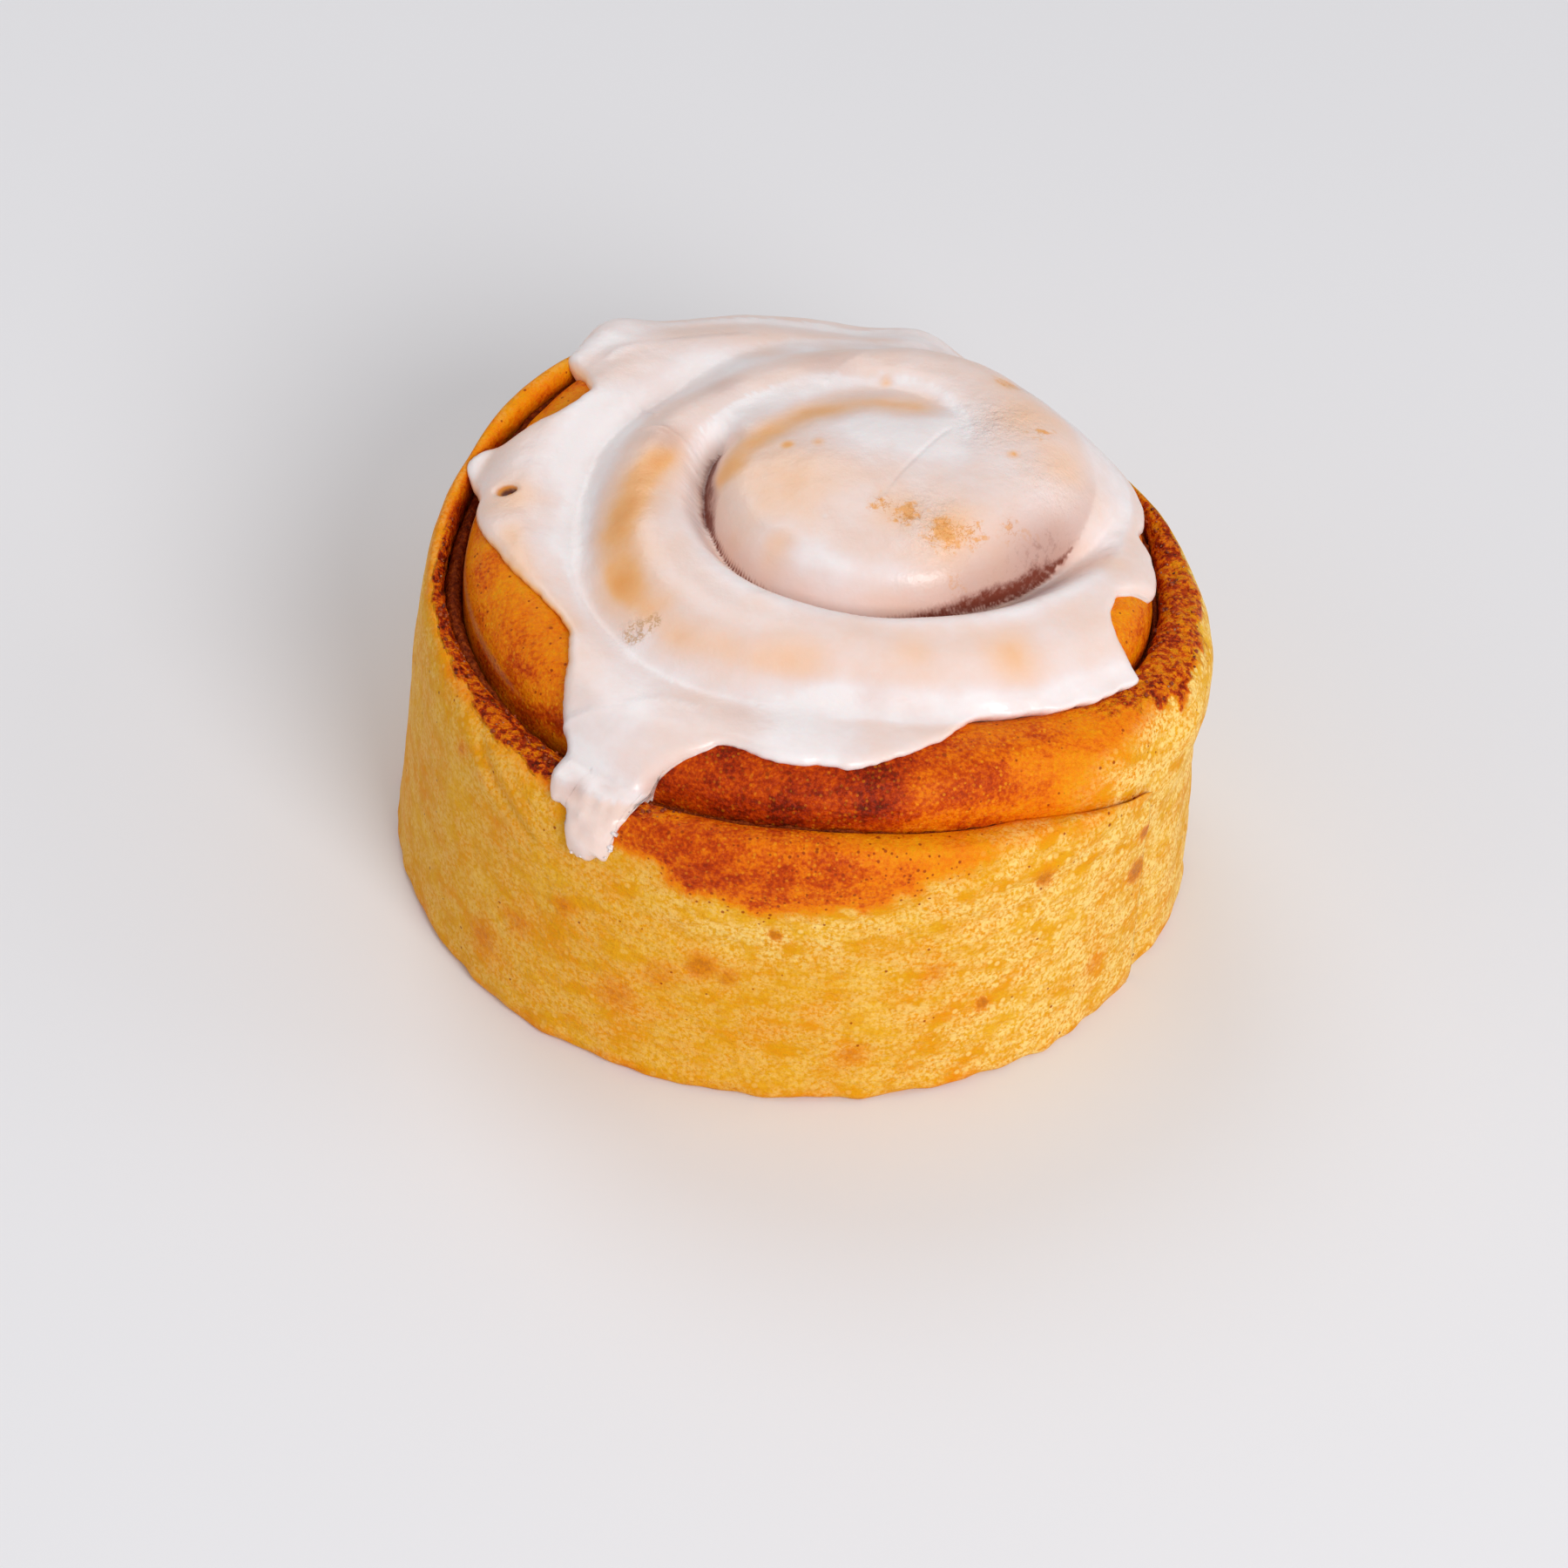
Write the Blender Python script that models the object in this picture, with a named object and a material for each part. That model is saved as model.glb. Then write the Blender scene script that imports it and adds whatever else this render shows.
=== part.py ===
"""An iced cinnamon roll, as three solids: the coiled dough, the filling between its turns, and the icing.

The roll is a strip of dough, spread with cinnamon filling and wound counter-clockwise from its eye outwards.
One curve in plan, the seam, describes the whole winding. The dough lies between one pass of the seam and
the next, the filling lies along the seam, and the last turn's outer side is the wall of the roll.
A place along the seam is given in turns: 0 at the eye, then 1 more each time it comes back to the east.
Lengths are in millimetres until a mesh is made. +X is east and +Y is north on the roll's plan.
"""

import math

import bmesh
import bpy
import numpy as np
from mathutils import Vector
from mathutils.bvhtree import BVHTree

MM = 0.001
EIGHTHS = 8
SEAM_STEP = 0.002

# Radius of the seam at each eighth of a turn, from the east, and then of the outside wall.
SEAM_RADII = (
    (7.0, 9.0, 12.5, 16.0, 23.0, 25.3, 24.3, 22.8),
    (24.5, 23.5, 23.5, 26.0, 35.0, 41.0, 37.5, 38.5),
    (32.3, 31.0, 35.7, 46.0, 44.8, 40.3, 39.6, 42.0),
)
WALL_RADII = (48.8, 47.2, 48.5, 50.2, 49.5, 48.8, 46.6, 47.3)
# Height of the dough just outside each stretch of seam.
CRESTS = (
    (52.0, 51.5, 50.5, 49.5, 48.5, 48.0, 48.5, 47.0),
    (44.0, 43.0, 45.5, 46.5, 44.5, 43.5, 44.5, 43.0),
    (40.8, 39.8, 44.2, 45.2, 39.6, 37.7, 39.5, 36.0),
)
TAIL_CREST = 29.0
EYE_CENTRE = (8.5, 14.0)
EYE_CREST = 53.5
# Between these two turns the seam's centre moves from the eye to the middle of the roll.
CENTRE_MOVES = (2.0, 2.5)

# The groove over the seam: pairs of turns and millimetres below the crest outside it.
GROOVE_DEPTHS = (
    (0.0, 0.8), (0.25, 1.8), (0.5, 4.6), (0.9, 4.2), (1.1, 3.6), (1.5, 3.8), (2.0, 3.0), (2.6, 2.0), (2.95, 1.0),
)
# The filling's thickness: pairs of turns and millimetres. It is thickest where a turn stands away.
FILLINGS = (
    (0.0, 0.8), (1.9, 0.8), (2.05, 1.5), (2.3, 0.9), (2.52, 2.2), (2.66, 1.2), (2.75, 0.8), (3.0, 0.8),
)
FILLING_START = 0.1
FILLING_GAP = 0.3
FILLING_BASE = 0.6
FILLING_RISE = 0.4

# Between these turns the outermost dough thins to its end, and its inner side comes out to the wall.
TAIL_THINS = 2.85
TAIL_END = 2.925
TAIL_THICKNESS = 1.6
TAIL_ROUNDING = 0.008
WALL_STARTS = 2.96
SHOULDER_DROP = 8.0

STATIONS_PER_TURN = 48
NOSE_STATIONS = 16
NOSE_END = 0.5
NOSE_OPENS = 0.08
EYE_SKEW = 0.2
EYE_SKEW_ENDS = 0.4
ARCH_STEPS = 9
ARCH_POWER = 2.3
WALL_STEPS = 5
BASE_ROUNDING = 1.2
# The wall leans out towards its base by this much, and in by the other towards its shoulder.
WALL_FLARE = 1.1
WALL_LEAN = 0.5
# The rim hangs over a waist in the wall where the second-last turn stands away from the roll.
OVERHANG = 2.4
WAIST = 1.0
OVERHANG_AT = 2.985
OVERHANG_REACH = 0.07

# The icing's outline, seen from a core point inside the roll: compass degrees, and degrees from straight up.
CORE_HEIGHT = 14.0
ICING_EDGE = (
    (3, 54.0), (10, 54.7), (18, 54.3), (22, 55.8), (28, 57.4), (34, 57.8), (56, 57.6), (71, 57.6),
    (86, 55.7), (99, 55.7), (112, 57.0), (121, 58.4), (131, 58.4), (136, 55.4), (143, 53.7), (150, 56.2),
    (156, 58.6), (160.5, 59.7), (168, 56.8), (178, 53.6), (191, 50.3), (204, 47.2), (212, 47.6), (221, 52.3),
    (226, 57.3), (230, 63.0), (234, 66.5), (238, 68.7), (242, 67.6), (244, 60.0), (246, 52.5), (249, 48.6),
    (254, 46.9), (266, 47.9), (278, 48.0), (288, 47.7), (302, 45.4), (316, 45.9), (327, 48.4), (337, 53.0),
    (344, 54.8), (350, 52.1), (357, 51.2),
)
ICING_THICKNESS = 1.5
ICING_SKIN = 0.6
ICING_GAP = 0.35
ICING_BEAD = 4.0
ICING_RINGS = 19
ICING_SPOKES = 92
ICING_MEAN_TILT = math.radians(54)
# Icing bridges the other grooves, but the groove round the eye stays open between these turns.
OPEN_GROOVE = (0.42, 1.08)
OPEN_GROOVE_WIDTH = 3.5

# The directions from the core are held on a square grid of angles, in radians.
GRID_STEP = 0.02
GRID_REACH = 1.4
BRIDGE_CELLS = 4


def curve_through(pairs, at):
    """A smooth curve through pairs of place and value, read at one place or at many. It never overshoots them."""
    places, values = np.array(pairs, float).T
    rises = np.diff(values) / np.diff(places)
    before, after = rises[:-1], rises[1:]
    same_way = before * after > 0
    slopes = np.zeros(len(places))
    slopes[1:-1][same_way] = (2 * before * after)[same_way] / (before + after)[same_way]
    at = np.clip(np.asarray(at, float), places[0], places[-1])
    left = np.clip(np.searchsorted(places, at, side="right") - 1, 0, len(places) - 2)
    width = places[left + 1] - places[left]
    t = (at - places[left]) / width
    from_left = (2 * t**3 - 3 * t**2 + 1) * values[left] + (t**3 - 2 * t**2 + t) * width * slopes[left]
    from_right = (3 * t**2 - 2 * t**3) * values[left + 1] + (t**3 - t**2) * width * slopes[left + 1]
    return from_left + from_right


def closed_curve(pairs, period, at):
    """The same for a curve that closes on itself after a period."""
    pairs = list(pairs)
    before = [(place - period, value) for place, value in pairs[-3:]]
    after = [(place + period, value) for place, value in pairs[:3]]
    return curve_through(before + pairs + after, np.mod(at, period))


def smooth_step(low, high, at):
    t = np.clip((np.asarray(at, float) - low) / (high - low), 0.0, 1.0)
    return t * t * (3 - 2 * t)


def by_turns(rows, closing):
    """A table of eighths of a turn as pairs, with one value more to close it."""
    values = [value for row in rows for value in row] + [closing]
    return [(k / EIGHTHS, value) for k, value in enumerate(values)]


SEAM_CURVE = by_turns(SEAM_RADII, WALL_RADII[0])
WALL_CURVE = by_turns([WALL_RADII], WALL_RADII[0])[:-1]
CREST_CURVE = by_turns(CRESTS, TAIL_CREST)


def seam_radius(turn):
    """The seam's radius. At the tail it comes out to the wall, and past the tail it is the wall."""
    thickness = TAIL_THICKNESS * (1 - smooth_step(TAIL_END, WALL_STARTS, turn))
    wall = closed_curve(WALL_CURVE, 1.0, turn) - thickness
    share = smooth_step(TAIL_THINS, TAIL_END, turn)
    return curve_through(SEAM_CURVE, turn) * (1 - share) + wall * share


def seam_line(turn):
    """A point of the seam in plan."""
    nearness = 1 - smooth_step(*CENTRE_MOVES, turn)
    angle = 2 * math.pi * np.asarray(turn, float)
    x = EYE_CENTRE[0] * nearness + seam_radius(turn) * np.cos(angle)
    y = EYE_CENTRE[1] * nearness + seam_radius(turn) * np.sin(angle)
    return np.stack([x, y], axis=-1)


def seam_point(turn, offset=0.0):
    """A point beside the seam in plan, moved outwards by offset, square to the seam."""
    onward = seam_line(turn + SEAM_STEP) - seam_line(turn - SEAM_STEP)
    outward = np.stack([onward[..., 1], -onward[..., 0]], axis=-1)
    return seam_line(turn) + offset * outward / np.linalg.norm(outward, axis=-1, keepdims=True)


def seam_height(turn):
    """The floor of the groove over the seam, and on the wall the foot of the rounded shoulder."""
    groove = curve_through(CREST_CURVE, turn) - curve_through(GROOVE_DEPTHS, turn)
    shoulder = curve_through(CREST_CURVE, turn - 1) - SHOULDER_DROP
    share = smooth_step(TAIL_END, WALL_STARTS, turn)
    return groove * (1 - share) + shoulder * share


def half_gap(turn):
    """Half of the space between two turns of dough: the filling and its clearance, and none on the wall."""
    space = curve_through(FILLINGS, turn) / 2 + FILLING_GAP
    return space * (1 - smooth_step(TAIL_END, WALL_STARTS, turn))


def nose_station(share):
    """A cut across the eye. It lies between the seam and its own first pass, and closes where they meet."""
    before = NOSE_END * share
    after = 1 - EYE_SKEW + (NOSE_END - 1 + EYE_SKEW) * share
    inner = seam_point(before, -half_gap(before) * smooth_step(0.0, NOSE_OPENS, before))
    outer = seam_point(after, -half_gap(after))
    low = seam_height(NOSE_END)
    crest = low + (EYE_CREST - low) * math.sqrt(1 - share**2.5)
    return inner, seam_height(before), outer, seam_height(after), crest, after


def strip_station(turn):
    """A cut across the strip, from the seam at this turn to the seam one turn later, or a bit less at the eye."""
    onward = turn + 1 - EYE_SKEW * (1 - smooth_step(0.0, EYE_SKEW_ENDS, turn))
    inner = seam_point(turn, half_gap(turn) * smooth_step(0.0, NOSE_OPENS, turn))
    outer = seam_point(onward, -half_gap(onward))
    past_nose = smooth_step(0.0, EYE_SKEW_ENDS, turn)
    crest = EYE_CREST * (1 - past_nose) + curve_through(CREST_CURVE, turn) * past_nose
    return inner, seam_height(turn), outer, seam_height(onward), crest, onward


def strip_turns(start=0.0):
    """The turns at which the strip is cut, at whole steps so that neighbouring passes are cut alike."""
    steps = np.arange(round(start * STATIONS_PER_TURN), round(TAIL_END * STATIONS_PER_TURN))
    return [*(steps / STATIONS_PER_TURN), TAIL_END - TAIL_ROUNDING]


def stations():
    shares = (np.arange(NOSE_STATIONS, 0, -1) - 0.3) / NOSE_STATIONS
    cuts = [nose_station(share) for share in shares] + [strip_station(turn) for turn in strip_turns()]
    for part, squeeze in ((0.4, 0.15), (0.0, 0.35)):
        inner, z_in, outer, z_out, crest, onward = strip_station(TAIL_END - TAIL_ROUNDING * part)
        cuts.append((inner + (outer - inner) * squeeze, z_in, outer, z_out, crest - squeeze, onward))
    return cuts


def wall_swell(turn, height, foot, width):
    """How far the wall stands out of its plan line: its lean, the rim's overhang and the rounded base."""
    outside = smooth_step(TAIL_END, WALL_STARTS, turn)
    lean = WALL_FLARE - (WALL_FLARE + WALL_LEAN) * min(1.0, height / foot)
    nearness = math.exp(-(((turn - OVERHANG_AT) / OVERHANG_REACH) ** 2))
    over = OVERHANG * smooth_step(0.78, 1.0, height / foot) - WAIST * smooth_step(0.3, 0.7, height / foot)
    tuck = max(0.0, BASE_ROUNDING - height)
    round_in = BASE_ROUNDING - math.sqrt(max(0.0, BASE_ROUNDING**2 - tuck**2))
    return outside * (lean + over * nearness) - min(round_in * (0.25 + 0.75 * outside), 0.4 * width)


def dough_section(station):
    """The outline of one cut across the strip: up its inner side, over its rounded top and down its outer side."""
    inner, z_in, outer, z_out, crest, turn = station
    width = np.linalg.norm(outer - inner)
    outward = (outer - inner) / width
    outline = [(*inner, 0.0), (*inner, 0.5 * z_in)]
    for k in range(ARCH_STEPS + 1):
        share = 0.5 * (1 - math.cos(math.pi * k / ARCH_STEPS))
        arch = (1 - abs(2 * share - 1) ** ARCH_POWER) ** (1 / ARCH_POWER)
        place = inner + (outer - inner) * share + outward * wall_swell(turn, z_out, z_out, width) * share
        low = z_in if share < 0.5 else z_out
        outline.append((*place, low + (crest - low) * arch))
    heights = [*np.linspace(z_out, 2 * BASE_ROUNDING, WALL_STEPS - 1)[1:], 0.4 * BASE_ROUNDING, 0.0]
    for height in heights:
        outline.append((*(outer + outward * wall_swell(turn, height, z_out, width)), height))
    return outline


def filling_section(turn):
    """The outline of the ribbon of filling: upright, from just over the base to the floor of the groove."""
    half = curve_through(FILLINGS, turn) / 2
    top = seam_height(turn) + FILLING_RISE
    inner, middle, outer = (seam_point(turn, offset) for offset in (-half, 0.0, half))
    return [
        (*inner, FILLING_BASE),
        (*inner, top - 0.6 * half),
        (*middle, top),
        (*outer, top - 0.6 * half),
        (*outer, FILLING_BASE),
    ]


def finish_object(name, build):
    """Turns a bmesh in millimetres into a mesh object in metres, with its faces pointing outwards."""
    bmesh.ops.recalc_face_normals(build, faces=build.faces)
    bmesh.ops.triangulate(build, faces=build.faces, quad_method="SHORT_EDGE")
    bmesh.ops.scale(build, vec=(MM, MM, MM), verts=build.verts)
    mesh = bpy.data.meshes.new(name)
    build.to_mesh(mesh)
    build.free()
    made = bpy.data.objects.new(name, mesh)
    bpy.context.scene.collection.objects.link(made)
    return made


def closed_strip(name, outlines):
    """A solid from a run of outlines with the same number of points, closed at both ends."""
    build = bmesh.new()
    rings = [[build.verts.new(point) for point in outline] for outline in outlines]
    for ring, following in zip(rings, rings[1:]):
        for k in range(len(ring)):
            after = (k + 1) % len(ring)
            build.faces.new((ring[k], following[k], following[after], ring[after]))
    build.faces.new(rings[0])
    build.faces.new(rings[-1][::-1])
    return finish_object(name, build)


def core_ray(across, along):
    """The direction from the core for a pair of grid angles. Both are 0 straight up."""
    tilt = math.hypot(across, along)
    level = math.sin(tilt) / tilt if tilt > 1e-9 else 1.0
    return Vector((across * level, along * level, math.cos(tilt)))


def core_distances(trees):
    """The distance from the core to the outside of the roll, for each pair of grid angles."""
    core = Vector((0, 0, CORE_HEIGHT)) * MM
    far = 100.0 * MM
    angles = np.arange(-GRID_REACH, GRID_REACH + GRID_STEP / 2, GRID_STEP)
    distances = np.zeros((len(angles), len(angles)))
    for i, across in enumerate(angles):
        for j, along in enumerate(angles):
            ray = core_ray(across, along)
            gaps = [tree.ray_cast(core + ray * far, -ray)[3] for tree in trees]
            distances[i, j] = (far - min(gap for gap in gaps if gap is not None)) / MM
    return angles, distances


def widened(grid, cells):
    """Each cell takes the highest value within so many cells of it."""
    padded = np.pad(grid, cells, mode="edge")
    size = len(grid)
    shifts = range(2 * cells + 1)
    return np.max([padded[i:i + size, j:j + size] for i in shifts for j in shifts], axis=0)


def bridged(grid, cells):
    """Fills the grooves that are narrower than twice so many cells, and leaves the ridges as they are."""
    return -widened(-widened(grid, cells), cells)


def softened(grid, rounds=2):
    """Averages each cell with its neighbours, a few times."""
    for _ in range(rounds):
        padded = np.pad(grid, 1, mode="edge")
        grid = 0.5 * grid + 0.125 * (padded[2:, 1:-1] + padded[:-2, 1:-1] + padded[1:-1, 2:] + padded[1:-1, :-2])
    return grid


def open_groove_share(angles, distances):
    """1 over the open groove round the eye, falling to 0 away from it."""
    across, along = np.meshgrid(angles, angles, indexing="ij")
    tilt = np.maximum(np.hypot(across, along), 1e-9)
    level = distances * np.sin(tilt) / tilt
    groove = seam_point(np.linspace(*OPEN_GROOVE, 60))
    away = np.min([np.hypot(across * level - x, along * level - y) for x, y in groove], axis=0)
    return np.exp(-((away / OPEN_GROOVE_WIDTH) ** 2))


def icing_surfaces(trees):
    """The icing's underside and its top, as distances from the core on the grid of angles."""
    angles, distances = core_distances(trees)
    groove = open_groove_share(angles, distances)
    close = softened(widened(distances, 1), 12)
    loose = softened(widened(distances, 2), 6)
    under = close * groove + loose * (1 - groove) + ICING_GAP
    level = softened(bridged(distances, BRIDGE_CELLS), 6) + ICING_GAP + ICING_THICKNESS
    top = level * (1 - groove) + (under + ICING_SKIN) * groove
    return angles, under, np.maximum(top, under + ICING_SKIN)


def read_grid(angles, grid, across, along):
    """The grid's value between its cells."""
    i = (across - angles[0]) / GRID_STEP
    j = (along - angles[0]) / GRID_STEP
    a, b = int(i), int(j)
    u, v = i - a, j - b
    near = grid[a, b] * (1 - u) + grid[a + 1, b] * u
    far = grid[a, b + 1] * (1 - u) + grid[a + 1, b + 1] * u
    return near * (1 - v) + far * v


def icing_outline():
    """The outline as grid angles, at equal steps along it, so that a drip gets as many as a straight run."""
    compass = np.arange(0.0, 360.0, 0.25)
    tilt = np.radians(closed_curve(ICING_EDGE, 360.0, compass))
    line = np.stack([tilt * np.cos(np.radians(compass)), tilt * np.sin(np.radians(compass))], axis=-1)
    steps = np.linalg.norm(np.roll(line, -1, axis=0) - line, axis=1)
    steps += steps.mean()
    travelled = np.concatenate([[0.0], np.cumsum(steps)[:-1]])
    return line[np.searchsorted(travelled, np.arange(ICING_SPOKES) * travelled[-1] / ICING_SPOKES)]


def icing_solid(trees):
    """The icing: a skin over the dough. Its rings are round at the middle and turn into the outline."""
    angles, under, top = icing_surfaces(trees)
    core = Vector((0, 0, CORE_HEIGHT))
    outline = icing_outline()
    compass = 2 * math.pi * np.arange(ICING_SPOKES) / ICING_SPOKES
    round_ring = ICING_MEAN_TILT * np.stack([np.cos(compass), np.sin(compass)], axis=-1)
    build = bmesh.new()
    hubs = [build.verts.new(core + core_ray(0, 0) * read_grid(angles, grid, 0, 0)) for grid in (top, under)]
    rings = []
    for k in range(1, ICING_RINGS + 1):
        share = 0.5 * k / ICING_RINGS + 0.5 * math.sin(0.5 * math.pi * k / ICING_RINGS)
        places = share * (round_ring * (1 - share**2) + outline * share**2)
        upper, lower = [], []
        for (across, along), edge in zip(places, outline):
            low = read_grid(angles, under, across, along)
            high = read_grid(angles, top, across, along)
            inset = min(1.0, math.hypot(across - edge[0], along - edge[1]) * low / ICING_BEAD)
            high = low + ICING_SKIN + (high - low - ICING_SKIN) * math.sqrt(1 - (1 - inset) ** 2)
            upper.append(build.verts.new(core + core_ray(across, along) * high))
            lower.append(build.verts.new(core + core_ray(across, along) * low))
        rings.append((upper, lower))
    for k in range(ICING_SPOKES):
        after = (k + 1) % ICING_SPOKES
        for side in (0, 1):
            build.faces.new((hubs[side], rings[0][side][k], rings[0][side][after]))
            for ring, wider in zip(rings, rings[1:]):
                build.faces.new((ring[side][k], wider[side][k], wider[side][after], ring[side][after]))
        upper, lower = rings[-1]
        build.faces.new((upper[k], lower[k], lower[after], upper[after]))
    return finish_object("icing", build)


def paint(obj, name, colour, roughness):
    finish = bpy.data.materials.new(name)
    finish.use_nodes = True
    shader = finish.node_tree.nodes["Principled BSDF"]
    shader.inputs["Base Color"].default_value = (*colour, 1.0)
    shader.inputs["Roughness"].default_value = roughness
    shader.inputs["Metallic"].default_value = 0.0
    obj.data.materials.append(finish)
    obj.data.shade_smooth()
    obj.data.set_sharp_from_angle(angle=math.radians(50))


def stand_on_origin(pieces):
    """Moves the pieces together, so that the origin is under the middle of their outline and on their base."""
    points = np.array([vertex.co for piece in pieces for vertex in piece.data.vertices])
    low, high = points.min(axis=0), points.max(axis=0)
    middle = Vector(((low[0] + high[0]) / 2, (low[1] + high[1]) / 2, low[2]))
    for piece in pieces:
        for vertex in piece.data.vertices:
            vertex.co -= middle


def main():
    for old in list(bpy.data.objects):
        bpy.data.objects.remove(old)
    dough = closed_strip("dough", [dough_section(station) for station in stations()])
    filling = closed_strip("cinnamon_filling", [filling_section(turn) for turn in strip_turns(FILLING_START)])
    graph = bpy.context.evaluated_depsgraph_get()
    icing = icing_solid([BVHTree.FromObject(piece, graph) for piece in (dough, filling)])
    stand_on_origin([dough, filling, icing])
    paint(dough, "baked_dough", (0.80, 0.47, 0.13), 0.55)
    paint(filling, "cinnamon", (0.22, 0.06, 0.02), 0.45)
    paint(icing, "sugar_icing", (0.93, 0.89, 0.87), 0.3)


main()
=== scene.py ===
# %% [markdown]
# # An iced cinnamon roll, from its fixed shape to its looks
#
# The roll is one strip of dough, spread with cinnamon and wound up, then baked and iced. The part
# is already there as a coarse frame with three pieces: `dough`, `cinnamon_filling` and `icing`. This
# lesson builds the same winding again with many more points, so that dents, folds and drips can be
# modelled, and then gives each piece its colour and shine. Lengths are in millimetres until a mesh is
# made.

# %% The frame and the tools
import math

import bmesh
import bpy
import numpy as np
from mathutils import Matrix, Vector, noise
from mathutils.bvhtree import BVHTree
from mathutils.kdtree import KDTree


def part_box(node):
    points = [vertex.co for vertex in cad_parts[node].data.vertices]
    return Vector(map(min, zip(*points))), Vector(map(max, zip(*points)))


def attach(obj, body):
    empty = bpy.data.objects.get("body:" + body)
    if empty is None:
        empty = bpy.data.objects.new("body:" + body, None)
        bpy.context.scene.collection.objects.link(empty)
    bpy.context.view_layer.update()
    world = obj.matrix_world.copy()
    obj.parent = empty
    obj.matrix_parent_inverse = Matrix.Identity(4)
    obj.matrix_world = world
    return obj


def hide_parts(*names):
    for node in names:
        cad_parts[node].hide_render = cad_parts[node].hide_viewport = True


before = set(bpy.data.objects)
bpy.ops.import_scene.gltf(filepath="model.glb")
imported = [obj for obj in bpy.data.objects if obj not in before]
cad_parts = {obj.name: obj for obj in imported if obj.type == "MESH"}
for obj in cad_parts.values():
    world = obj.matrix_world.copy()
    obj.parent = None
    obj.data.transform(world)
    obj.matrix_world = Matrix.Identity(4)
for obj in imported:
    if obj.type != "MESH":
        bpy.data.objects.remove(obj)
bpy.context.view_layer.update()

MM = 0.001
print("the frame's pieces:", ", ".join(sorted(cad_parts)))

# %% [markdown]
# ## The winding
#
# Everything hangs on one curve in plan, the seam where one turn of dough meets the next. A place along it
# is given in turns, counted from the eye: 0 at the eye's east side, then 1 more each time round. The
# tables hold its radius, the height of the dough beside it and the depth of its groove. A formula such as
# a spiral of Archimedes would be shorter, but a hand-wound roll is far from it: its turns crowd together
# on one side.

# %% The winding's measurements
# Each row of these tables is one turn, with a value for each eighth of it.
SEAM_RADII = (
    (7.0, 9.0, 12.5, 16.0, 23.0, 25.3, 24.3, 22.8),
    (24.5, 23.5, 23.5, 26.0, 35.0, 41.0, 37.5, 38.5),
    (32.3, 31.0, 35.7, 46.0, 44.8, 40.3, 39.6, 42.0),
)
WALL_RADII = (48.8, 47.2, 48.5, 50.2, 49.5, 48.8, 46.6, 47.3)
CRESTS = (
    (52.0, 51.5, 50.5, 49.5, 48.5, 48.0, 48.5, 47.0),
    (44.0, 43.0, 45.5, 46.5, 44.5, 43.5, 44.5, 43.0),
    (40.8, 39.8, 44.2, 45.2, 39.6, 37.7, 39.5, 36.0),
)
TAIL_CREST = 29.0
EYE_CENTRE = (8.5, 14.0)
EYE_CREST = 53.5
CENTRE_MOVES = (2.0, 2.5)
# Pairs of turn and millimetres.
GROOVE_DEPTHS = (
    (0.0, 0.8), (0.3, 1.8), (0.42, 4.2), (0.5, 7.0), (0.62, 6.2), (0.9, 5.6), (1.02, 4.2), (1.1, 3.6),
    (1.5, 3.8), (2.0, 3.0), (2.6, 2.0), (2.95, 1.0),
)
FILLINGS = (
    (0.0, 0.8), (1.9, 0.8), (2.05, 1.5), (2.3, 0.9), (2.52, 2.2), (2.66, 1.2), (2.75, 0.8), (2.88, 0.3),
    (3.0, 0.3),
)
TAIL_THINS = 2.85
TAIL_END = 2.925
TAIL_THICKNESS = 1.0
WALL_STARTS = 2.96
SHOULDER_DROP = 8.0

# %% Curves through a table
def curve_through(pairs, at):
    """A smooth curve through pairs of place and value. It never overshoots them."""
    places, values = np.array(pairs, float).T
    rises = np.diff(values) / np.diff(places)
    before, after = rises[:-1], rises[1:]
    same_way = before * after > 0
    slopes = np.zeros(len(places))
    slopes[1:-1][same_way] = (2 * before * after)[same_way] / (before + after)[same_way]
    at = np.clip(np.asarray(at, float), places[0], places[-1])
    left = np.clip(np.searchsorted(places, at, side="right") - 1, 0, len(places) - 2)
    width = places[left + 1] - places[left]
    t = (at - places[left]) / width
    from_left = (2 * t**3 - 3 * t**2 + 1) * values[left] + (t**3 - 2 * t**2 + t) * width * slopes[left]
    from_right = (3 * t**2 - 2 * t**3) * values[left + 1] + (t**3 - t**2) * width * slopes[left + 1]
    return from_left + from_right


def closed_curve(pairs, period, at):
    """The same for a curve that closes on itself after a period."""
    pairs = list(pairs)
    before = [(place - period, value) for place, value in pairs[-3:]]
    after = [(place + period, value) for place, value in pairs[:3]]
    return curve_through(before + pairs + after, np.mod(at, period))


def smooth_step(low, high, at):
    """0 at low, 1 at high, flat beyond both and a soft slope between."""
    t = np.clip((np.asarray(at, float) - low) / (high - low), 0.0, 1.0)
    return t * t * (3 - 2 * t)


def window(at, rises, falls):
    """1 in a stretch that fades in between the first two places and out between the last two."""
    return smooth_step(*rises, at) * (1 - smooth_step(*falls, at))


def bell(gap, width):
    """1 where the gap is nothing, falling off softly over the width."""
    return np.exp(-((gap / width) ** 2))


def by_turns(rows, closing):
    """A table of eighths of a turn as pairs, with one value more to close it."""
    values = [value for row in rows for value in row] + [closing]
    return [(k / 8, value) for k, value in enumerate(values)]


halfway = curve_through([(0, 0), (1, 2), (2, 2)], 0.5)
print("a curve through (0, 0), (1, 2), (2, 2) is", float(halfway), "at 0.5")

# %% The seam in plan and in height
SEAM_CURVE = by_turns(SEAM_RADII, WALL_RADII[0])
WALL_CURVE = by_turns([WALL_RADII], WALL_RADII[0])[:-1]
CREST_CURVE = by_turns(CRESTS, TAIL_CREST)


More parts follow.
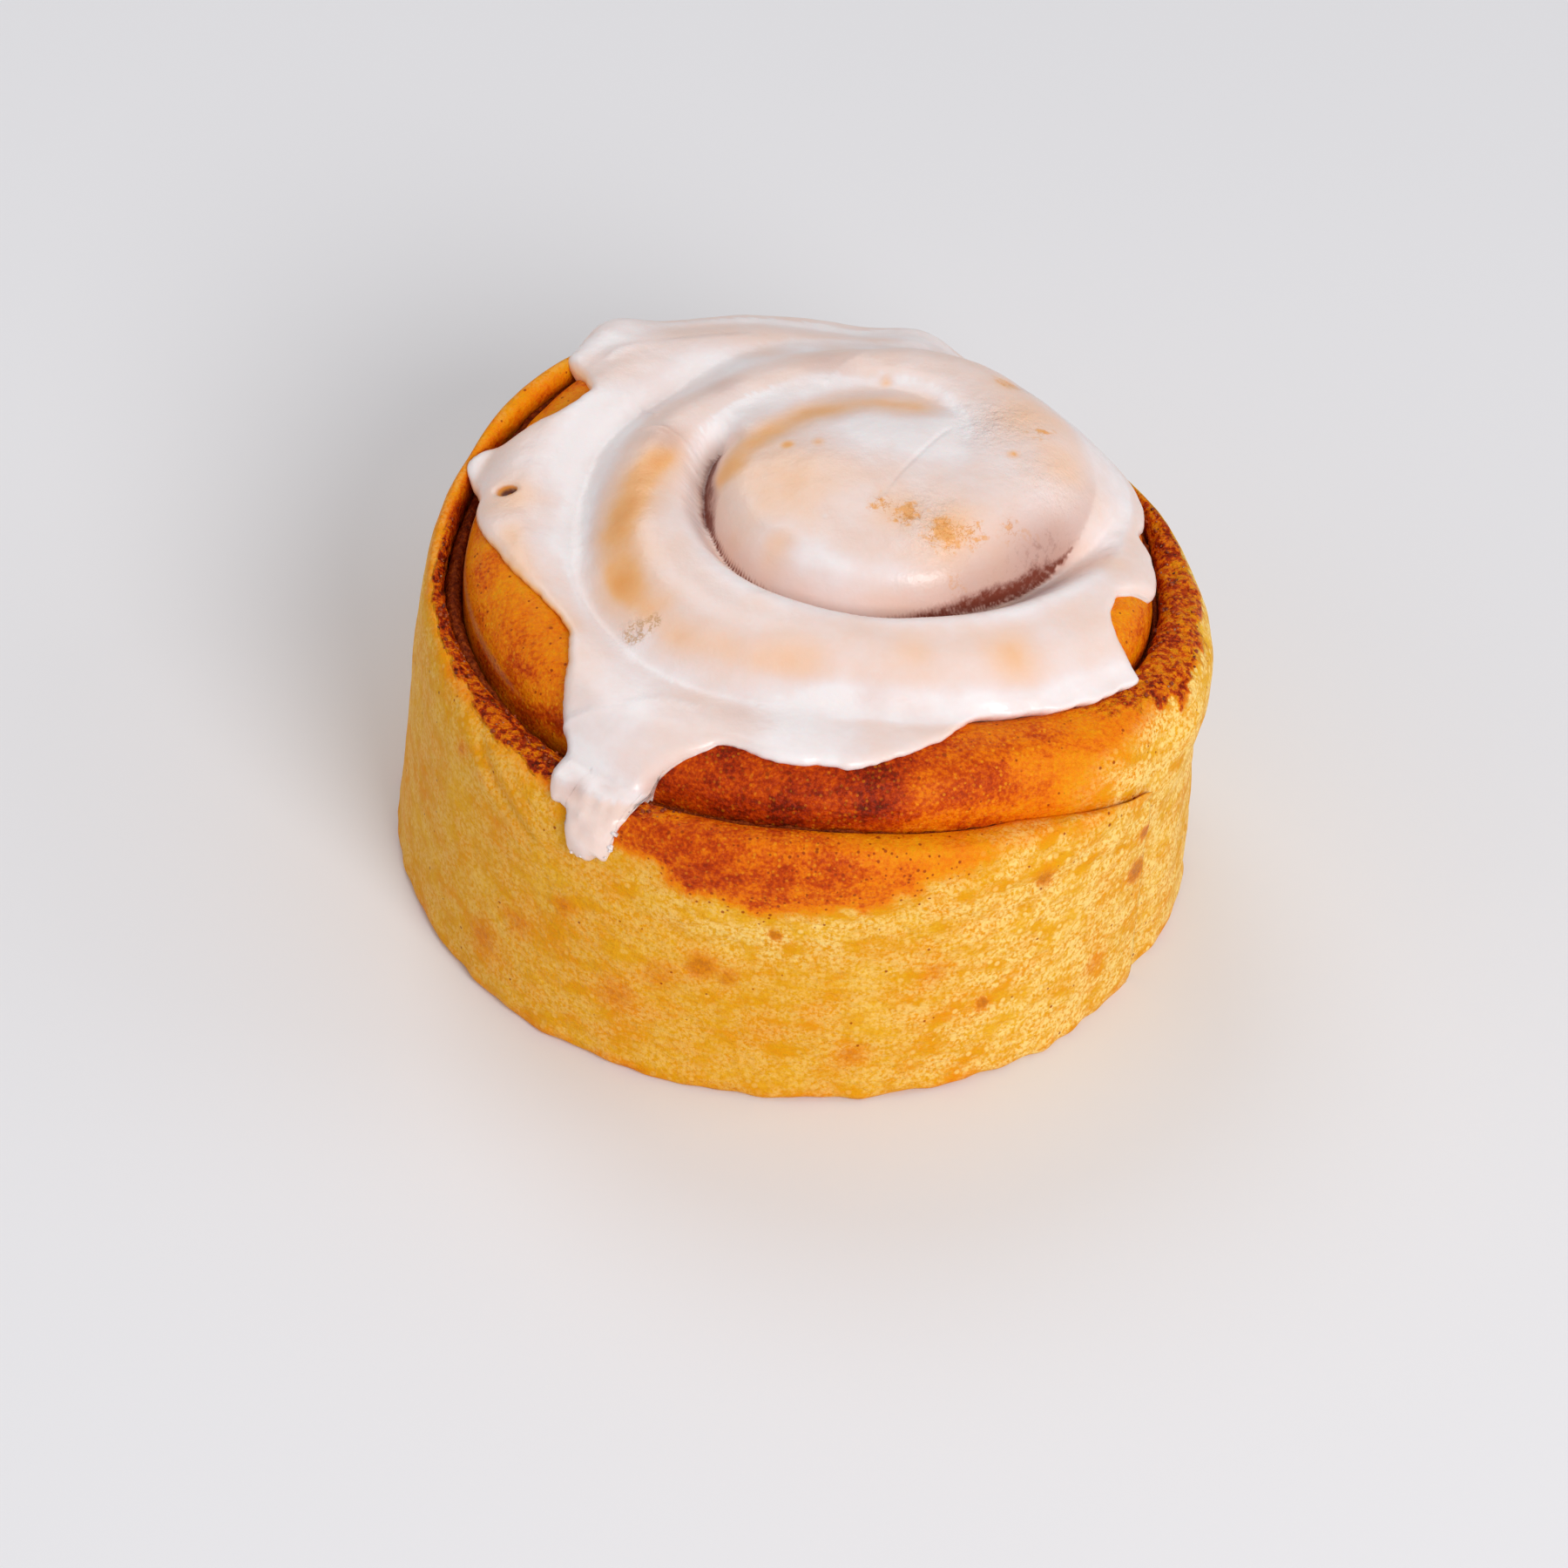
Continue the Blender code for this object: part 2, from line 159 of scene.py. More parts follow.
def seam_line(turn):
    """The seam in plan. At the tail it comes out to the wall, and past the tail it is the wall."""
    turn = np.asarray(turn, float)
    thickness = TAIL_THICKNESS * (1 - smooth_step(TAIL_END, WALL_STARTS, turn))
    share = smooth_step(TAIL_THINS, TAIL_END, turn)
    wall = closed_curve(WALL_CURVE, 1.0, turn) - thickness
    radius = curve_through(SEAM_CURVE, turn) * (1 - share) + wall * share
    near_eye = 1 - smooth_step(*CENTRE_MOVES, turn)
    angle = 2 * math.pi * turn
    x = EYE_CENTRE[0] * near_eye + radius * np.cos(angle)
    y = EYE_CENTRE[1] * near_eye + radius * np.sin(angle)
    return np.stack([x, y], axis=-1)


def seam_point(turn, offset=0.0):
    """A point beside the seam, moved outwards square to it."""
    onward = seam_line(turn + 0.002) - seam_line(turn - 0.002)
    outward = np.stack([onward[..., 1], -onward[..., 0]], axis=-1)
    outward /= np.linalg.norm(outward, axis=-1, keepdims=True)
    return seam_line(turn) + np.asarray(offset, float)[..., None] * outward


def seam_height(turn):
    """The floor of the groove over the seam, and on the wall the foot of its rounded shoulder."""
    groove = curve_through(CREST_CURVE, turn) - curve_through(GROOVE_DEPTHS, turn)
    shoulder = curve_through(CREST_CURVE, turn - 1) - SHOULDER_DROP
    share = smooth_step(TAIL_END, WALL_STARTS, turn)
    return groove * (1 - share) + shoulder * share


def half_filling(turn):
    """Half the filling's thickness. It is nothing where the seam is the wall."""
    return curve_through(FILLINGS, turn) / 2 * (1 - smooth_step(TAIL_END, WALL_STARTS, turn))


def length_of(line):
    """The length of a line through points, in whole millimetres."""
    return round(float(np.linalg.norm(np.diff(line, axis=0), axis=1).sum()))


print("the unrolled strip is about", length_of(seam_line(np.linspace(0, TAIL_END, 2000))), "mm long")

# %% [markdown]
# ## The dough, cut across
#
# The strip is cut across at many turns, and each cut is an outline: up its inner side, over a rounded top
# and down its outer side. Skinning the cuts gives the dough. The eye is where the strip starts, so there
# the cuts lie across a closing pocket instead. A subdivided box would need its loops steered round every
# turn, while cuts stay tidy and know their own turn, which the colours use later.

# %% Measurements of the cuts
CUTS_PER_TURN = 410
EYE_CUTS = 70
TOP_POINTS = 34
WALL_POINTS = 25
EYE_SKEW = 0.2
EYE_SKEW_ENDS = 0.4
EYE_END = 0.5
EYE_OPENS = 0.08
TOP_POWER = 2.3
BASE_ROUNDING = 1.2
WALL_FLARE = 1.1
WALL_LEAN = 0.5
OVERHANG = 2.4
WAIST = 1.0
OVERHANG_AT = 2.985
OVERHANG_REACH = 0.07
WALL_SETTLES = (TAIL_END + 0.93, TAIL_END + 1.0)
INNER_STATIONS = (0.0, 0.5, 0.85)
BASE_STATIONS = (1.4, 0.9, 0.55, 0.25, 0.08, 0.0)
TAIL_TIP = 0.008
TAIL_TIP_CUTS = 8
TAIL_SQUEEZE = 0.35
CUT_POINTS = len(INNER_STATIONS) + TOP_POINTS + 1 + WALL_POINTS + len(BASE_STATIONS)
print("points in one cut:", CUT_POINTS)

# %% Cuts across the strip
def eye_cuts(share):
    """Cuts across the eye, from where it closes (share 1) to where the strip starts (share 0)."""
    before = EYE_END * share
    after = 1 - EYE_SKEW + (EYE_END - 1 + EYE_SKEW) * share
    inner = seam_point(before, -half_filling(before) * smooth_step(0.0, EYE_OPENS, before))
    outer = seam_point(after, -half_filling(after))
    low = seam_height(EYE_END)
    crest = low + (EYE_CREST - low) * np.sqrt(1 - share**2.5)
    return [inner, seam_height(before), outer, seam_height(after), crest, 0 * share, after]


def strip_cuts(turn, squeeze=0.0):
    """Cuts across the strip, each from the seam to the seam one turn later. A squeeze narrows them."""
    past_eye = smooth_step(0.0, EYE_SKEW_ENDS, turn)
    onward = turn + 1 - EYE_SKEW * (1 - past_eye)
    inner = seam_point(turn, half_filling(turn) * smooth_step(0.0, EYE_OPENS, turn))
    outer = seam_point(onward, -half_filling(onward))
    crest = EYE_CREST * (1 - past_eye) + curve_through(CREST_CURVE, turn) * past_eye - squeeze
    inner = inner + (outer - inner) * np.asarray(squeeze, float)[..., None]
    return [inner, seam_height(turn), outer, seam_height(onward), crest, turn, onward]


front_cut = strip_cuts(np.array([1.75]))
print("in front, the strip is", round(float(np.linalg.norm(front_cut[2] - front_cut[0])), 1), "mm wide")

# %% The points of each cut
def wall_swell(onward, height, foot, width):
    """How far the wall stands out of its plan line: its lean, the rim's overhang and the rounded base."""
    outside = smooth_step(TAIL_END, WALL_STARTS, onward) * (1 - 0.7 * smooth_step(*WALL_SETTLES, onward))
    rise = np.minimum(1.0, height / foot)
    lean = WALL_FLARE - (WALL_FLARE + WALL_LEAN) * rise
    nearness = bell(onward - OVERHANG_AT, OVERHANG_REACH)
    over = OVERHANG * smooth_step(0.78, 1.0, rise) - WAIST * smooth_step(0.3, 0.7, rise)
    tuck = np.maximum(0.0, BASE_ROUNDING - height)
    round_in = BASE_ROUNDING - np.sqrt(np.maximum(0.0, BASE_ROUNDING**2 - tuck**2))
    return outside * (lean + over * nearness) - np.minimum(round_in * (0.25 + 0.75 * outside), 0.4 * width)


def dough_grid(cuts):
    """The points of every cut, and for each point its share of the way across."""
    inner, z_in, outer, z_out, crest, _, onward = cuts
    width = np.linalg.norm(outer - inner, axis=-1)
    outward = (outer - inner) / width[:, None]
    columns, across = [], []
    for part in INNER_STATIONS:
        columns.append(np.column_stack([inner, part * z_in]))
        across.append(0.0)
    for k in range(TOP_POINTS + 1):
        share = 0.5 * (1 - math.cos(math.pi * k / TOP_POINTS))
        arch = (1 - abs(2 * share - 1) ** TOP_POWER) ** (1 / TOP_POWER)
        swell = wall_swell(onward, z_out, z_out, width)
        place = inner + (outer - inner) * share + outward * (swell * share)[:, None]
        low = z_in if share < 0.5 else z_out
        columns.append(np.column_stack([place, low + (crest - low) * arch]))
        across.append(share)
    stations = [z_out + (2 * BASE_ROUNDING - z_out) * k / WALL_POINTS for k in range(1, WALL_POINTS + 1)]
    stations += [0 * z_out + BASE_ROUNDING * part for part in BASE_STATIONS]
    for height in stations:
        place = outer + outward * wall_swell(onward, height, z_out, width)[:, None]
        columns.append(np.column_stack([place, height]))
        across.append(1.0)
    return np.stack(columns, axis=1), np.array(across)


tip_parts = np.linspace(0.9, 0.0, TAIL_TIP_CUTS)
all_cuts = [
    eye_cuts((np.arange(EYE_CUTS, 0, -1) - 0.3) / EYE_CUTS),
    strip_cuts(np.arange(0.0, TAIL_END - TAIL_TIP, 1 / CUTS_PER_TURN)),
    strip_cuts(TAIL_END - TAIL_TIP * tip_parts, TAIL_SQUEEZE * (1 - tip_parts) ** 2),
]
cuts = [np.concatenate(parts) for parts in zip(*all_cuts)]
inner_turns, outer_turns = cuts[5:]
smooth_dough, across = dough_grid(cuts)
dough_middle = (smooth_dough.reshape(-1, 3).min(axis=0) + smooth_dough.reshape(-1, 3).max(axis=0)) / 2
frame_dough = [np.array(corner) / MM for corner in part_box("dough")]
TO_FRAME = (frame_dough[0] + frame_dough[1]) / 2 - dough_middle
TO_FRAME[2] = 0.0
print("the dough has", smooth_dough.shape[0], "cuts of", smooth_dough.shape[1], "points")
print("the seam's plan lies", TO_FRAME[:2].round(2), "mm from the frame's own origin")

# %% [markdown]
# ## Dents, folds and wrinkles
#
# Dough that rose against its neighbours has broad soft dents, and its skin wrinkles where it was pinched.
# They are modelled by moving points along the surface's own direction. Broad dents come from a smooth
# noise. The folds that the picture shows are drawn as lines on the wall, by compass degree and height.
# Sculpting would give the same, but a line in a table can be moved later with one number.

# %% Helpers for places on the surface
def lumps(points, size, seed=0.0):
    """Smooth random lumps of a size, from about -1 to 1, at each point."""
    flat = (np.asarray(points).reshape(-1, 3) / size + 7.3 * seed).tolist()
    return np.array([noise.noise(place) for place in flat]).reshape(np.shape(points)[:-1])


def away_from_line(places, line):
    """The distance of each place, given as two numbers, to a bent line."""
    nearest = np.full(places.shape[:-1], 1e9)
    for start, end in zip(np.array(line, float), np.array(line, float)[1:]):
        run = end - start
        share = np.clip(((places - start) @ run) / (run @ run), 0.0, 1.0)
        gap = np.linalg.norm(places - start - share[..., None] * run, axis=-1)
        nearest = np.minimum(nearest, gap)
    return nearest


def soft_spots(x, y, spots):
    """Soft round spots, each with a place, a radius and a strength. The strongest counts."""
    total = np.zeros(np.shape(x))
    for spot_x, spot_y, radius, strength in spots:
        total = np.maximum(total, strength * np.exp(-((x - spot_x) ** 2 + (y - spot_y) ** 2) / radius**2))
    return total


def outward_directions(grid):
    """The direction square to a grid of points, away from the winding's inside."""
    along = np.gradient(grid, axis=0)
    over = np.gradient(grid, axis=1)
    square = np.cross(over, along)
    return square / np.maximum(np.linalg.norm(square, axis=-1, keepdims=True), 1e-9)


WALL_MM_PER_DEGREE = 0.84
compass = np.degrees(np.arctan2(smooth_dough[..., 1], smooth_dough[..., 0])) % 360
turn = inner_turns[:, None] + 0 * compass
on_wall = smooth_step(0.55, 1.0, across)[None, :] * smooth_step(TAIL_END, WALL_STARTS, outer_turns)[:, None]
wall_place = np.stack([compass * WALL_MM_PER_DEGREE, smooth_dough[..., 2]], axis=-1)
print("points on the outer wall:", int((on_wall > 0.5).sum()))

# %% The dough's relief
# Folds and wrinkles on the wall: lines by compass degrees and height.
LEFT_FOLD = ((205.0, 44.0), (208.0, 40.0), (214.1, 37.0), (221.7, 33.0), (229.1, 29.6))
WRINKLES = (
    ((286.0, 30.5), (294.0, 33.5), (303.0, 34.8), (312.0, 33.0)),
    ((297.0, 27.0), (306.0, 26.0), (316.0, 28.5), (326.0, 27.0)),
    ((304.0, 30.0), (313.0, 29.5), (324.0, 31.0)),
    ((246.0, 26.5), (256.0, 24.0), (263.0, 24.5)),
    ((331.0, 31.0), (334.0, 32.2), (338.0, 32.6), (344.0, 32.1)),
    ((333.0, 31.0), (335.0, 27.0), (334.0, 23.0), (336.0, 19.0)),
)
# The cinnamon crust at the west and at the east: the turns where it fades in and out, and then how far
# across the strip it reaches, in pairs of turn and share.
WEST_CRUST = ((2.44, 2.5), (2.67, 2.71))
WEST_CRUST_ENDS = (
    (2.44, 0.1), (2.48, 0.24), (2.52, 0.42), (2.56, 0.5), (2.6, 0.62), (2.64, 0.68), (2.68, 0.6), (2.72, 0.4),
)
EAST_CRUST = ((1.83, 1.89), (2.05, 2.1))
EAST_CRUST_ENDS = (
    (1.8, 0.2), (1.88, 0.4), (1.92, 0.66), (1.95, 0.8), (1.98, 0.78), (2.02, 0.66), (2.06, 0.5), (2.1, 0.4),
)
PINCHED = ((1.84, 1.9), (2.0, 2.06))


def on_wall_line(line):
    """A line given in compass degrees and height, in millimetres along and up the wall."""
    return [(degrees * WALL_MM_PER_DEGREE, height) for degrees, height in line]


def crusted_of(grid):
    """How much cinnamon crust lies on each point: at the east, and on the rim's inner side at the west."""
    ragged = across + 0.14 * lumps(grid, 2.6, 15) + 0.07 * lumps(grid, 1.0, 16)
    bands = 0.0
    for stretch, ends in ((EAST_CRUST, EAST_CRUST_ENDS), (WEST_CRUST, WEST_CRUST_ENDS)):
        past_end = smooth_step(-0.05, 0.05, ragged - curve_through(ends, turn))
        bands = bands + window(turn, *stretch) * (1 - past_end)
    return np.clip(bands, 0.0, 1.0)


def dough_relief(grid):
    """How far each point moves out, in millimetres."""
    dents = 0.45 * lumps(grid, 15.0, 1) + 0.2 * lumps(grid, 6.0, 2) + 0.07 * lumps(grid, 2.4, 3)
    fold_gap = away_from_line(wall_place, on_wall_line(LEFT_FOLD))
    fold = -0.4 * bell(fold_gap, 0.7) + 0.2 * bell(fold_gap - 1.8, 1.0)
    creases = sum(bell(away_from_line(wall_place, on_wall_line(line)), 0.9) for line in WRINKLES)
    streaks = lumps(grid * np.array([0.25, 0.25, 1.0]), 2.2, 4)
    pinched = window(turn, *PINCHED) * smooth_step(0.5, 0.9, across)
    foot = 1 - smooth_step(0.5, 4.0, grid[..., 2])
    ragged = foot * lumps(grid, 3.5, 5) * 0.45
    torn = crusted * (0.35 * lumps(grid, 1.7, 13) + 0.15 * lumps(grid, 0.9, 14))
    return 0.75 * dents + on_wall * (fold - 0.4 * creases + ragged) + 0.28 * pinched * streaks + torn


crusted = crusted_of(smooth_dough)
relief = dough_relief(smooth_dough) * (smooth_dough[..., 2] > 0.05)
rough_dough = smooth_dough + outward_directions(smooth_dough) * relief[..., None]
rough_dough[..., 2] = np.maximum(rough_dough[..., 2], 0.0)
rough_dough[:, -1, 2] = 0.0
print("the relief runs from", relief.min().round(2), "to", relief.max().round(2), "mm")

# %% [markdown]
# ## Where the dough browned
#
# The oven browns what stands up and faces out: the crests of the turns go orange to rust brown, while the
# wall that leaned on the tin stays golden. How brown a point is, from 0 to 1, is worked out here and
# stored with the mesh. The finish then only turns that number into a colour. Painting a picture by hand
# would also do, but numbers by turn and share follow the dough when its shape is changed.

# %% The browning's measurements
# Each row: turn, then how brown the strip is at its inner edge, on its crest and at its outer edge.
BROWNING = (
    (0.0, 0.45, 0.45, 0.45), (0.9, 0.45, 0.38, 0.55), (1.04, 0.4, 0.36, 0.5), (1.2, 0.5, 0.5, 0.5),
    (1.38, 0.42, 0.38, 0.5), (1.48, 0.38, 0.36, 0.56), (1.56, 0.36, 0.38, 0.57), (1.64, 0.43, 0.51, 0.64),
    (1.7, 0.5, 0.73, 0.78), (1.76, 0.5, 0.8, 0.83), (1.82, 0.5, 0.66, 0.62), (1.87, 0.6, 0.5, 0.44),
    (1.92, 0.5, 0.36, 0.18), (1.97, 0.4, 0.12, 0.04), (2.02, 0.4, 0.12, 0.04), (2.07, 0.4, 0.14, 0.05),
    (2.2, 0.5, 0.4, 0.15), (2.36, 0.4, 0.33, 0.14), (2.43, 0.5, 0.32, 0.1), (2.5, 0.85, 0.3, 0.06),
    (2.6, 0.88, 0.32, 0.05), (2.65, 0.85, 0.54, 0.34), (2.69, 0.66, 0.7, 0.74), (2.72, 0.6, 0.65, 0.72),
    (2.75, 0.52, 0.57, 0.64), (2.78, 0.48, 0.5, 0.52), (2.81, 0.45, 0.42, 0.42), (2.85, 0.38, 0.3, 0.26),
    (2.925, 0.45, 0.3, 0.22),
)
# Where the brown ends on the wall: compass degrees and height.
BROWN_ENDS = (
    (0, 37.0), (90, 40.0), (180, 38.0), (230, 40.0), (236, 38.0), (241, 35.0), (247.7, 34.2), (256.5, 31.6),
    (264.2, 30.2), (276.7, 31.6), (287.8, 34.2), (296.9, 35.0), (306.7, 35.0), (318, 33.0), (330, 33.0),
    (336, 37.0),
)
# Brown spots on the wall: compass degrees, height, radius and strength.
WALL_SPOTS = (
    (258.0, 20.3, 2.2, 0.32), (262.0, 19.0, 1.4, 0.3), (300.9, 12.9, 0.8, 0.6), (268.3, 26.8, 0.9, 0.45),
    (331.0, 20.6, 1.8, 0.5), (332.0, 26.5, 1.2, 0.42), (212.0, 33.0, 0.9, 0.3), (281.0, 8.0, 2.6, 0.2),
    (246.0, 12.0, 3.2, 0.18), (310.0, 30.0, 1.6, 0.35), (228.0, 15.0, 2.6, 0.18), (236.0, 22.0, 1.5, 0.24),
    (252.0, 17.5, 3.0, 0.18), (222.0, 9.0, 3.0, 0.2), (293.0, 20.0, 2.2, 0.16), (322.0, 10.0, 2.4, 0.18),
)
WALL_GOLD = 0.15
WEST_CRUST_BROWN = 0.8
EAST_CRUST_BROWN = 0.69
print("turns with a browning of their own:", len(BROWNING), "and spots on the wall:", len(WALL_SPOTS))

# %% How brown each place is
def browned_of(grid):
    """1 where the brown of the rim comes down over the wall, with a ragged border."""
    border = closed_curve(BROWN_ENDS, 360.0, compass) + 2.2 * lumps(grid, 6.0, 6) + 1.4 * lumps(grid, 1.8, 7)
    return smooth_step(-1.6, 1.6, grid[..., 2] - border)


def browning_of(grid):
    """How brown each point is, from 0, pale gold, to 1, nearly burnt, and how smudged the wall is."""
    rows = np.array(BROWNING)
    inner, crest, outer = (curve_through(rows[:, [0, k]], turn) for k in (1, 2, 3))
    near_inner = 1 - smooth_step(0.0, 0.42, across)
    near_outer = smooth_step(0.64, 1.0, across)
    top = inner * near_inner + outer * near_outer + crest * (1 - near_inner - near_outer)
    foot = 1 - smooth_step(0.4, 2.4, grid[..., 2] + 1.2 * lumps(grid, 3.0, 8))
    spots = [(degrees * WALL_MM_PER_DEGREE, height, *rest) for degrees, height, *rest in WALL_SPOTS]
    smudges = soft_spots(*np.moveaxis(wall_place, -1, 0), spots)
    low = WALL_GOLD + 0.06 * lumps(grid * np.array([0.8, 0.8, 1.0]), 9.0, 9) + 0.15 * foot + smudges
    brown = top * (1 - on_wall) + (top * browned + low * (1 - browned)) * on_wall
    brown = np.maximum(brown, np.where(turn > 2.3, WEST_CRUST_BROWN, EAST_CRUST_BROWN) * crusted)
    return np.clip(brown, 0.0, 1.0), np.clip(smudges + 0.12 * foot, 0.0, 1.0) * on_wall * (1 - browned)


browned = browned_of(smooth_dough)
browning, smudged = browning_of(smooth_dough)
print("mean browning of the wall:", browning[on_wall > 0.9].mean().round(2))

# %% Specks, flour and the dry lip
# The turns that each covers: where it fades in and where it fades out.
FRONT_RIM = ((2.62, 2.68), (2.78, 2.86))
FRONT_STRANDS = ((1.3, 1.45), (1.75, 1.9))
DRY_LIP = ((1.44, 1.48), (1.56, 1.62))
EAST_RIM = ((1.88, 1.95), (2.05, 2.12))
# How much pale flour lies on the wall: compass degrees and share. The higher shares on the right side are
# partly painted light.
FLOUR_AND_LIGHT_BY_COMPASS = (
    (0, 1.15), (60, 0.9), (120, 0.6), (180, 0.55), (225, 0.45), (250, 0.42), (282, 0.55), (305, 1.05),
    (335, 1.2),
)


def speckled_of(grid):
    """How many dark specks of cinnamon show: most on the front rim and its lower border, few on the wall."""
    front_rim = window(turn, *FRONT_RIM)
    top = 0.08 + 0.35 * front_rim + 0.15 * window(turn, *FRONT_STRANDS)
    above_border = grid[..., 2] - closed_curve(BROWN_ENDS, 360.0, compass)
    grains = front_rim * bell(above_border - 0.5, 2.4) * (1 + lumps(grid, 2.5, 17))
    speckled = top * (1 - on_wall) + (0.02 + (top - 0.02) * browned) * on_wall + 0.28 * grains
    return np.clip(speckled, 0.0, 1.0)


def flour_and_painted_light_of(grid):
    """How much flour lies on each point: by compass, with more on the right side as painted light, in a patch
    under the front rim, and on the east rim as flour and a painted highlight.
    """
    below_border = closed_curve(BROWN_ENDS, 360.0, compass) - grid[..., 2]
    patch = bell(compass - 268, 16) * bell(below_border - 4.0, 4.0)
    east_rim_flour_and_painted_highlight = window(turn, *EAST_RIM) * smooth_step(0.55, 0.85, across)
    flour = closed_curve(FLOUR_AND_LIGHT_BY_COMPASS, 360.0, compass) * (1 - browned * on_wall) + 0.6 * patch + 0.9 * east_rim_flour_and_painted_highlight
    return np.clip(flour, 0.0, 1.25)


def dry_lip_of(grid):
    """The dull lip over the open groove at the west, where the icing ends."""
    above_seam = grid[..., 2] - seam_height(outer_turns)[:, None]
    lip = window(turn, *DRY_LIP) * smooth_step(0.93, 0.97, across)[None, :]
    return lip * smooth_step(0.6, 1.4, above_seam) * smooth_step(3.4, 1.8, above_seam)


dough_numbers = {"browning": browning, "smudged": smudged, "crusted": crusted}
for title, number_of in (("speckled", speckled_of), ("flour_and_painted_light", flour_and_painted_light_of), ("dry_lip", dry_lip_of)):
    dough_numbers[title] = number_of(smooth_dough)
print("numbers stored with the dough:", ", ".join(dough_numbers))

# %% Making a mesh from a grid of cuts
def finish_piece(name, build, numbers, material_slot):
    """Turns a bmesh in millimetres into a piece of the roll. The numbers are stored at its points."""
    bmesh.ops.recalc_face_normals(build, faces=build.faces)
    mesh = bpy.data.meshes.new(name)
    build.to_mesh(mesh)
    build.free()
    points = np.zeros(len(mesh.vertices) * 3)
    mesh.vertices.foreach_get("co", points)
    points = (points.reshape(-1, 3) + TO_FRAME) * MM
    mesh.vertices.foreach_set("co", points.ravel())
    for title, values in numbers.items():
        stored = mesh.attributes.new(title, "FLOAT", "POINT")
        stored.data.foreach_set("value", np.asarray(values, np.float32).ravel())
    mesh.shade_smooth()
    piece = bpy.data.objects.new(name, mesh)
    bpy.context.scene.collection.objects.link(piece)
    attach(piece, "root")
    print(name, "has", sum(len(face.vertices) - 2 for face in mesh.polygons), "triangles")
    return piece


def skin_of_cuts(grid):
    """A closed skin over a grid of cuts, with the first and last cut as its ends."""
    build = bmesh.new()
    rings = [[build.verts.new(point) for point in cut] for cut in grid.tolist()]
    for ring, following in zip(rings, rings[1:]):
        for k in range(len(ring)):
            after = (k + 1) % len(ring)
            build.faces.new((ring[k], following[k], following[after], ring[after]))
    build.faces.new(rings[0])
    build.faces.new(rings[-1][::-1])
    return build


dough = finish_piece("baked_dough_roll", skin_of_cuts(rough_dough), dough_numbers, "baked_dough")
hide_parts("dough")

# %% [markdown]
# ## The filling
#
# Cinnamon, sugar and butter bake into a dark wet ribbon that stands in the seam. It shows only as a line
# in most creases, and as a rough dark mass where the outer turn stands away at the west. A round cord
# along the seam would be quicker, but the ribbon is high and thin, so it is skinned from cuts as the
# dough is, with a lumpy top.

# %% The ribbon in the seam
RIBBON_FOOT = 0.6
RIBBON_OVERLAP = 0.12
RIBBON_STANDS = 0.35
RIBBON_SAG = 1.2
SAGGING = ((2.4, 2.5), (2.6, 2.68))
RIBBON_ENDS = (0.1, TAIL_END - 0.01)
RIBBON_CUTS_PER_TURN = 420
# One side of the ribbon's rounded section, from its foot to its middle: shares of half its width and height.
RIBBON_SIDE = ((1, 0.0), (1, 0.5), (1, 0.9), (0.9, 0.96), (0.5, 0.99))


def filling_grid(turns):
    """Cuts across the filling's ribbon."""
    half = half_filling(turns) + RIBBON_OVERLAP
    top = seam_height(turns) + RIBBON_STANDS - RIBBON_SAG * window(turns, *SAGGING)
    section = [(-offset, height) for offset, height in RIBBON_SIDE] + [(0, 1.0), *RIBBON_SIDE[::-1]]
    columns = []
    for offset, height in section:
        place = seam_point(turns, half * offset)
        columns.append(np.column_stack([place, RIBBON_FOOT + (top - RIBBON_FOOT) * height]))
    grid = np.stack(columns, axis=1)
    lumpy = 0.4 * lumps(grid, 1.6, 11) + 0.25 * lumps(grid, 0.7, 12)
    share_of_height = (grid[..., 2] - RIBBON_FOOT) / (top - RIBBON_FOOT)[:, None]
    grid[..., 2] += lumpy * smooth_step(0.5, 0.95, share_of_height)
    return grid


filling_cuts = filling_grid(np.arange(*RIBBON_ENDS, 1 / RIBBON_CUTS_PER_TURN))
filling = finish_piece("cinnamon_ribbon", skin_of_cuts(filling_cuts), {}, "cinnamon")
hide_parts("cinnamon_filling")

# %% [markdown]
# ## The icing
#
# Runny icing was poured on: it fills the grooves, thins out over the ridges, hangs over the rim in one
# drip and ends in a rounded edge. A fluid simulation could pour it, but its edge would not land where the
# picture shows it. Here the roll is looked at from a core point inside, along a fan of rays. The
# outside's distance is noted for each ray, its grooves are bridged and softened, and the icing's
# thickness is added. Its outline is a table: compass degree, and degrees from straight up.

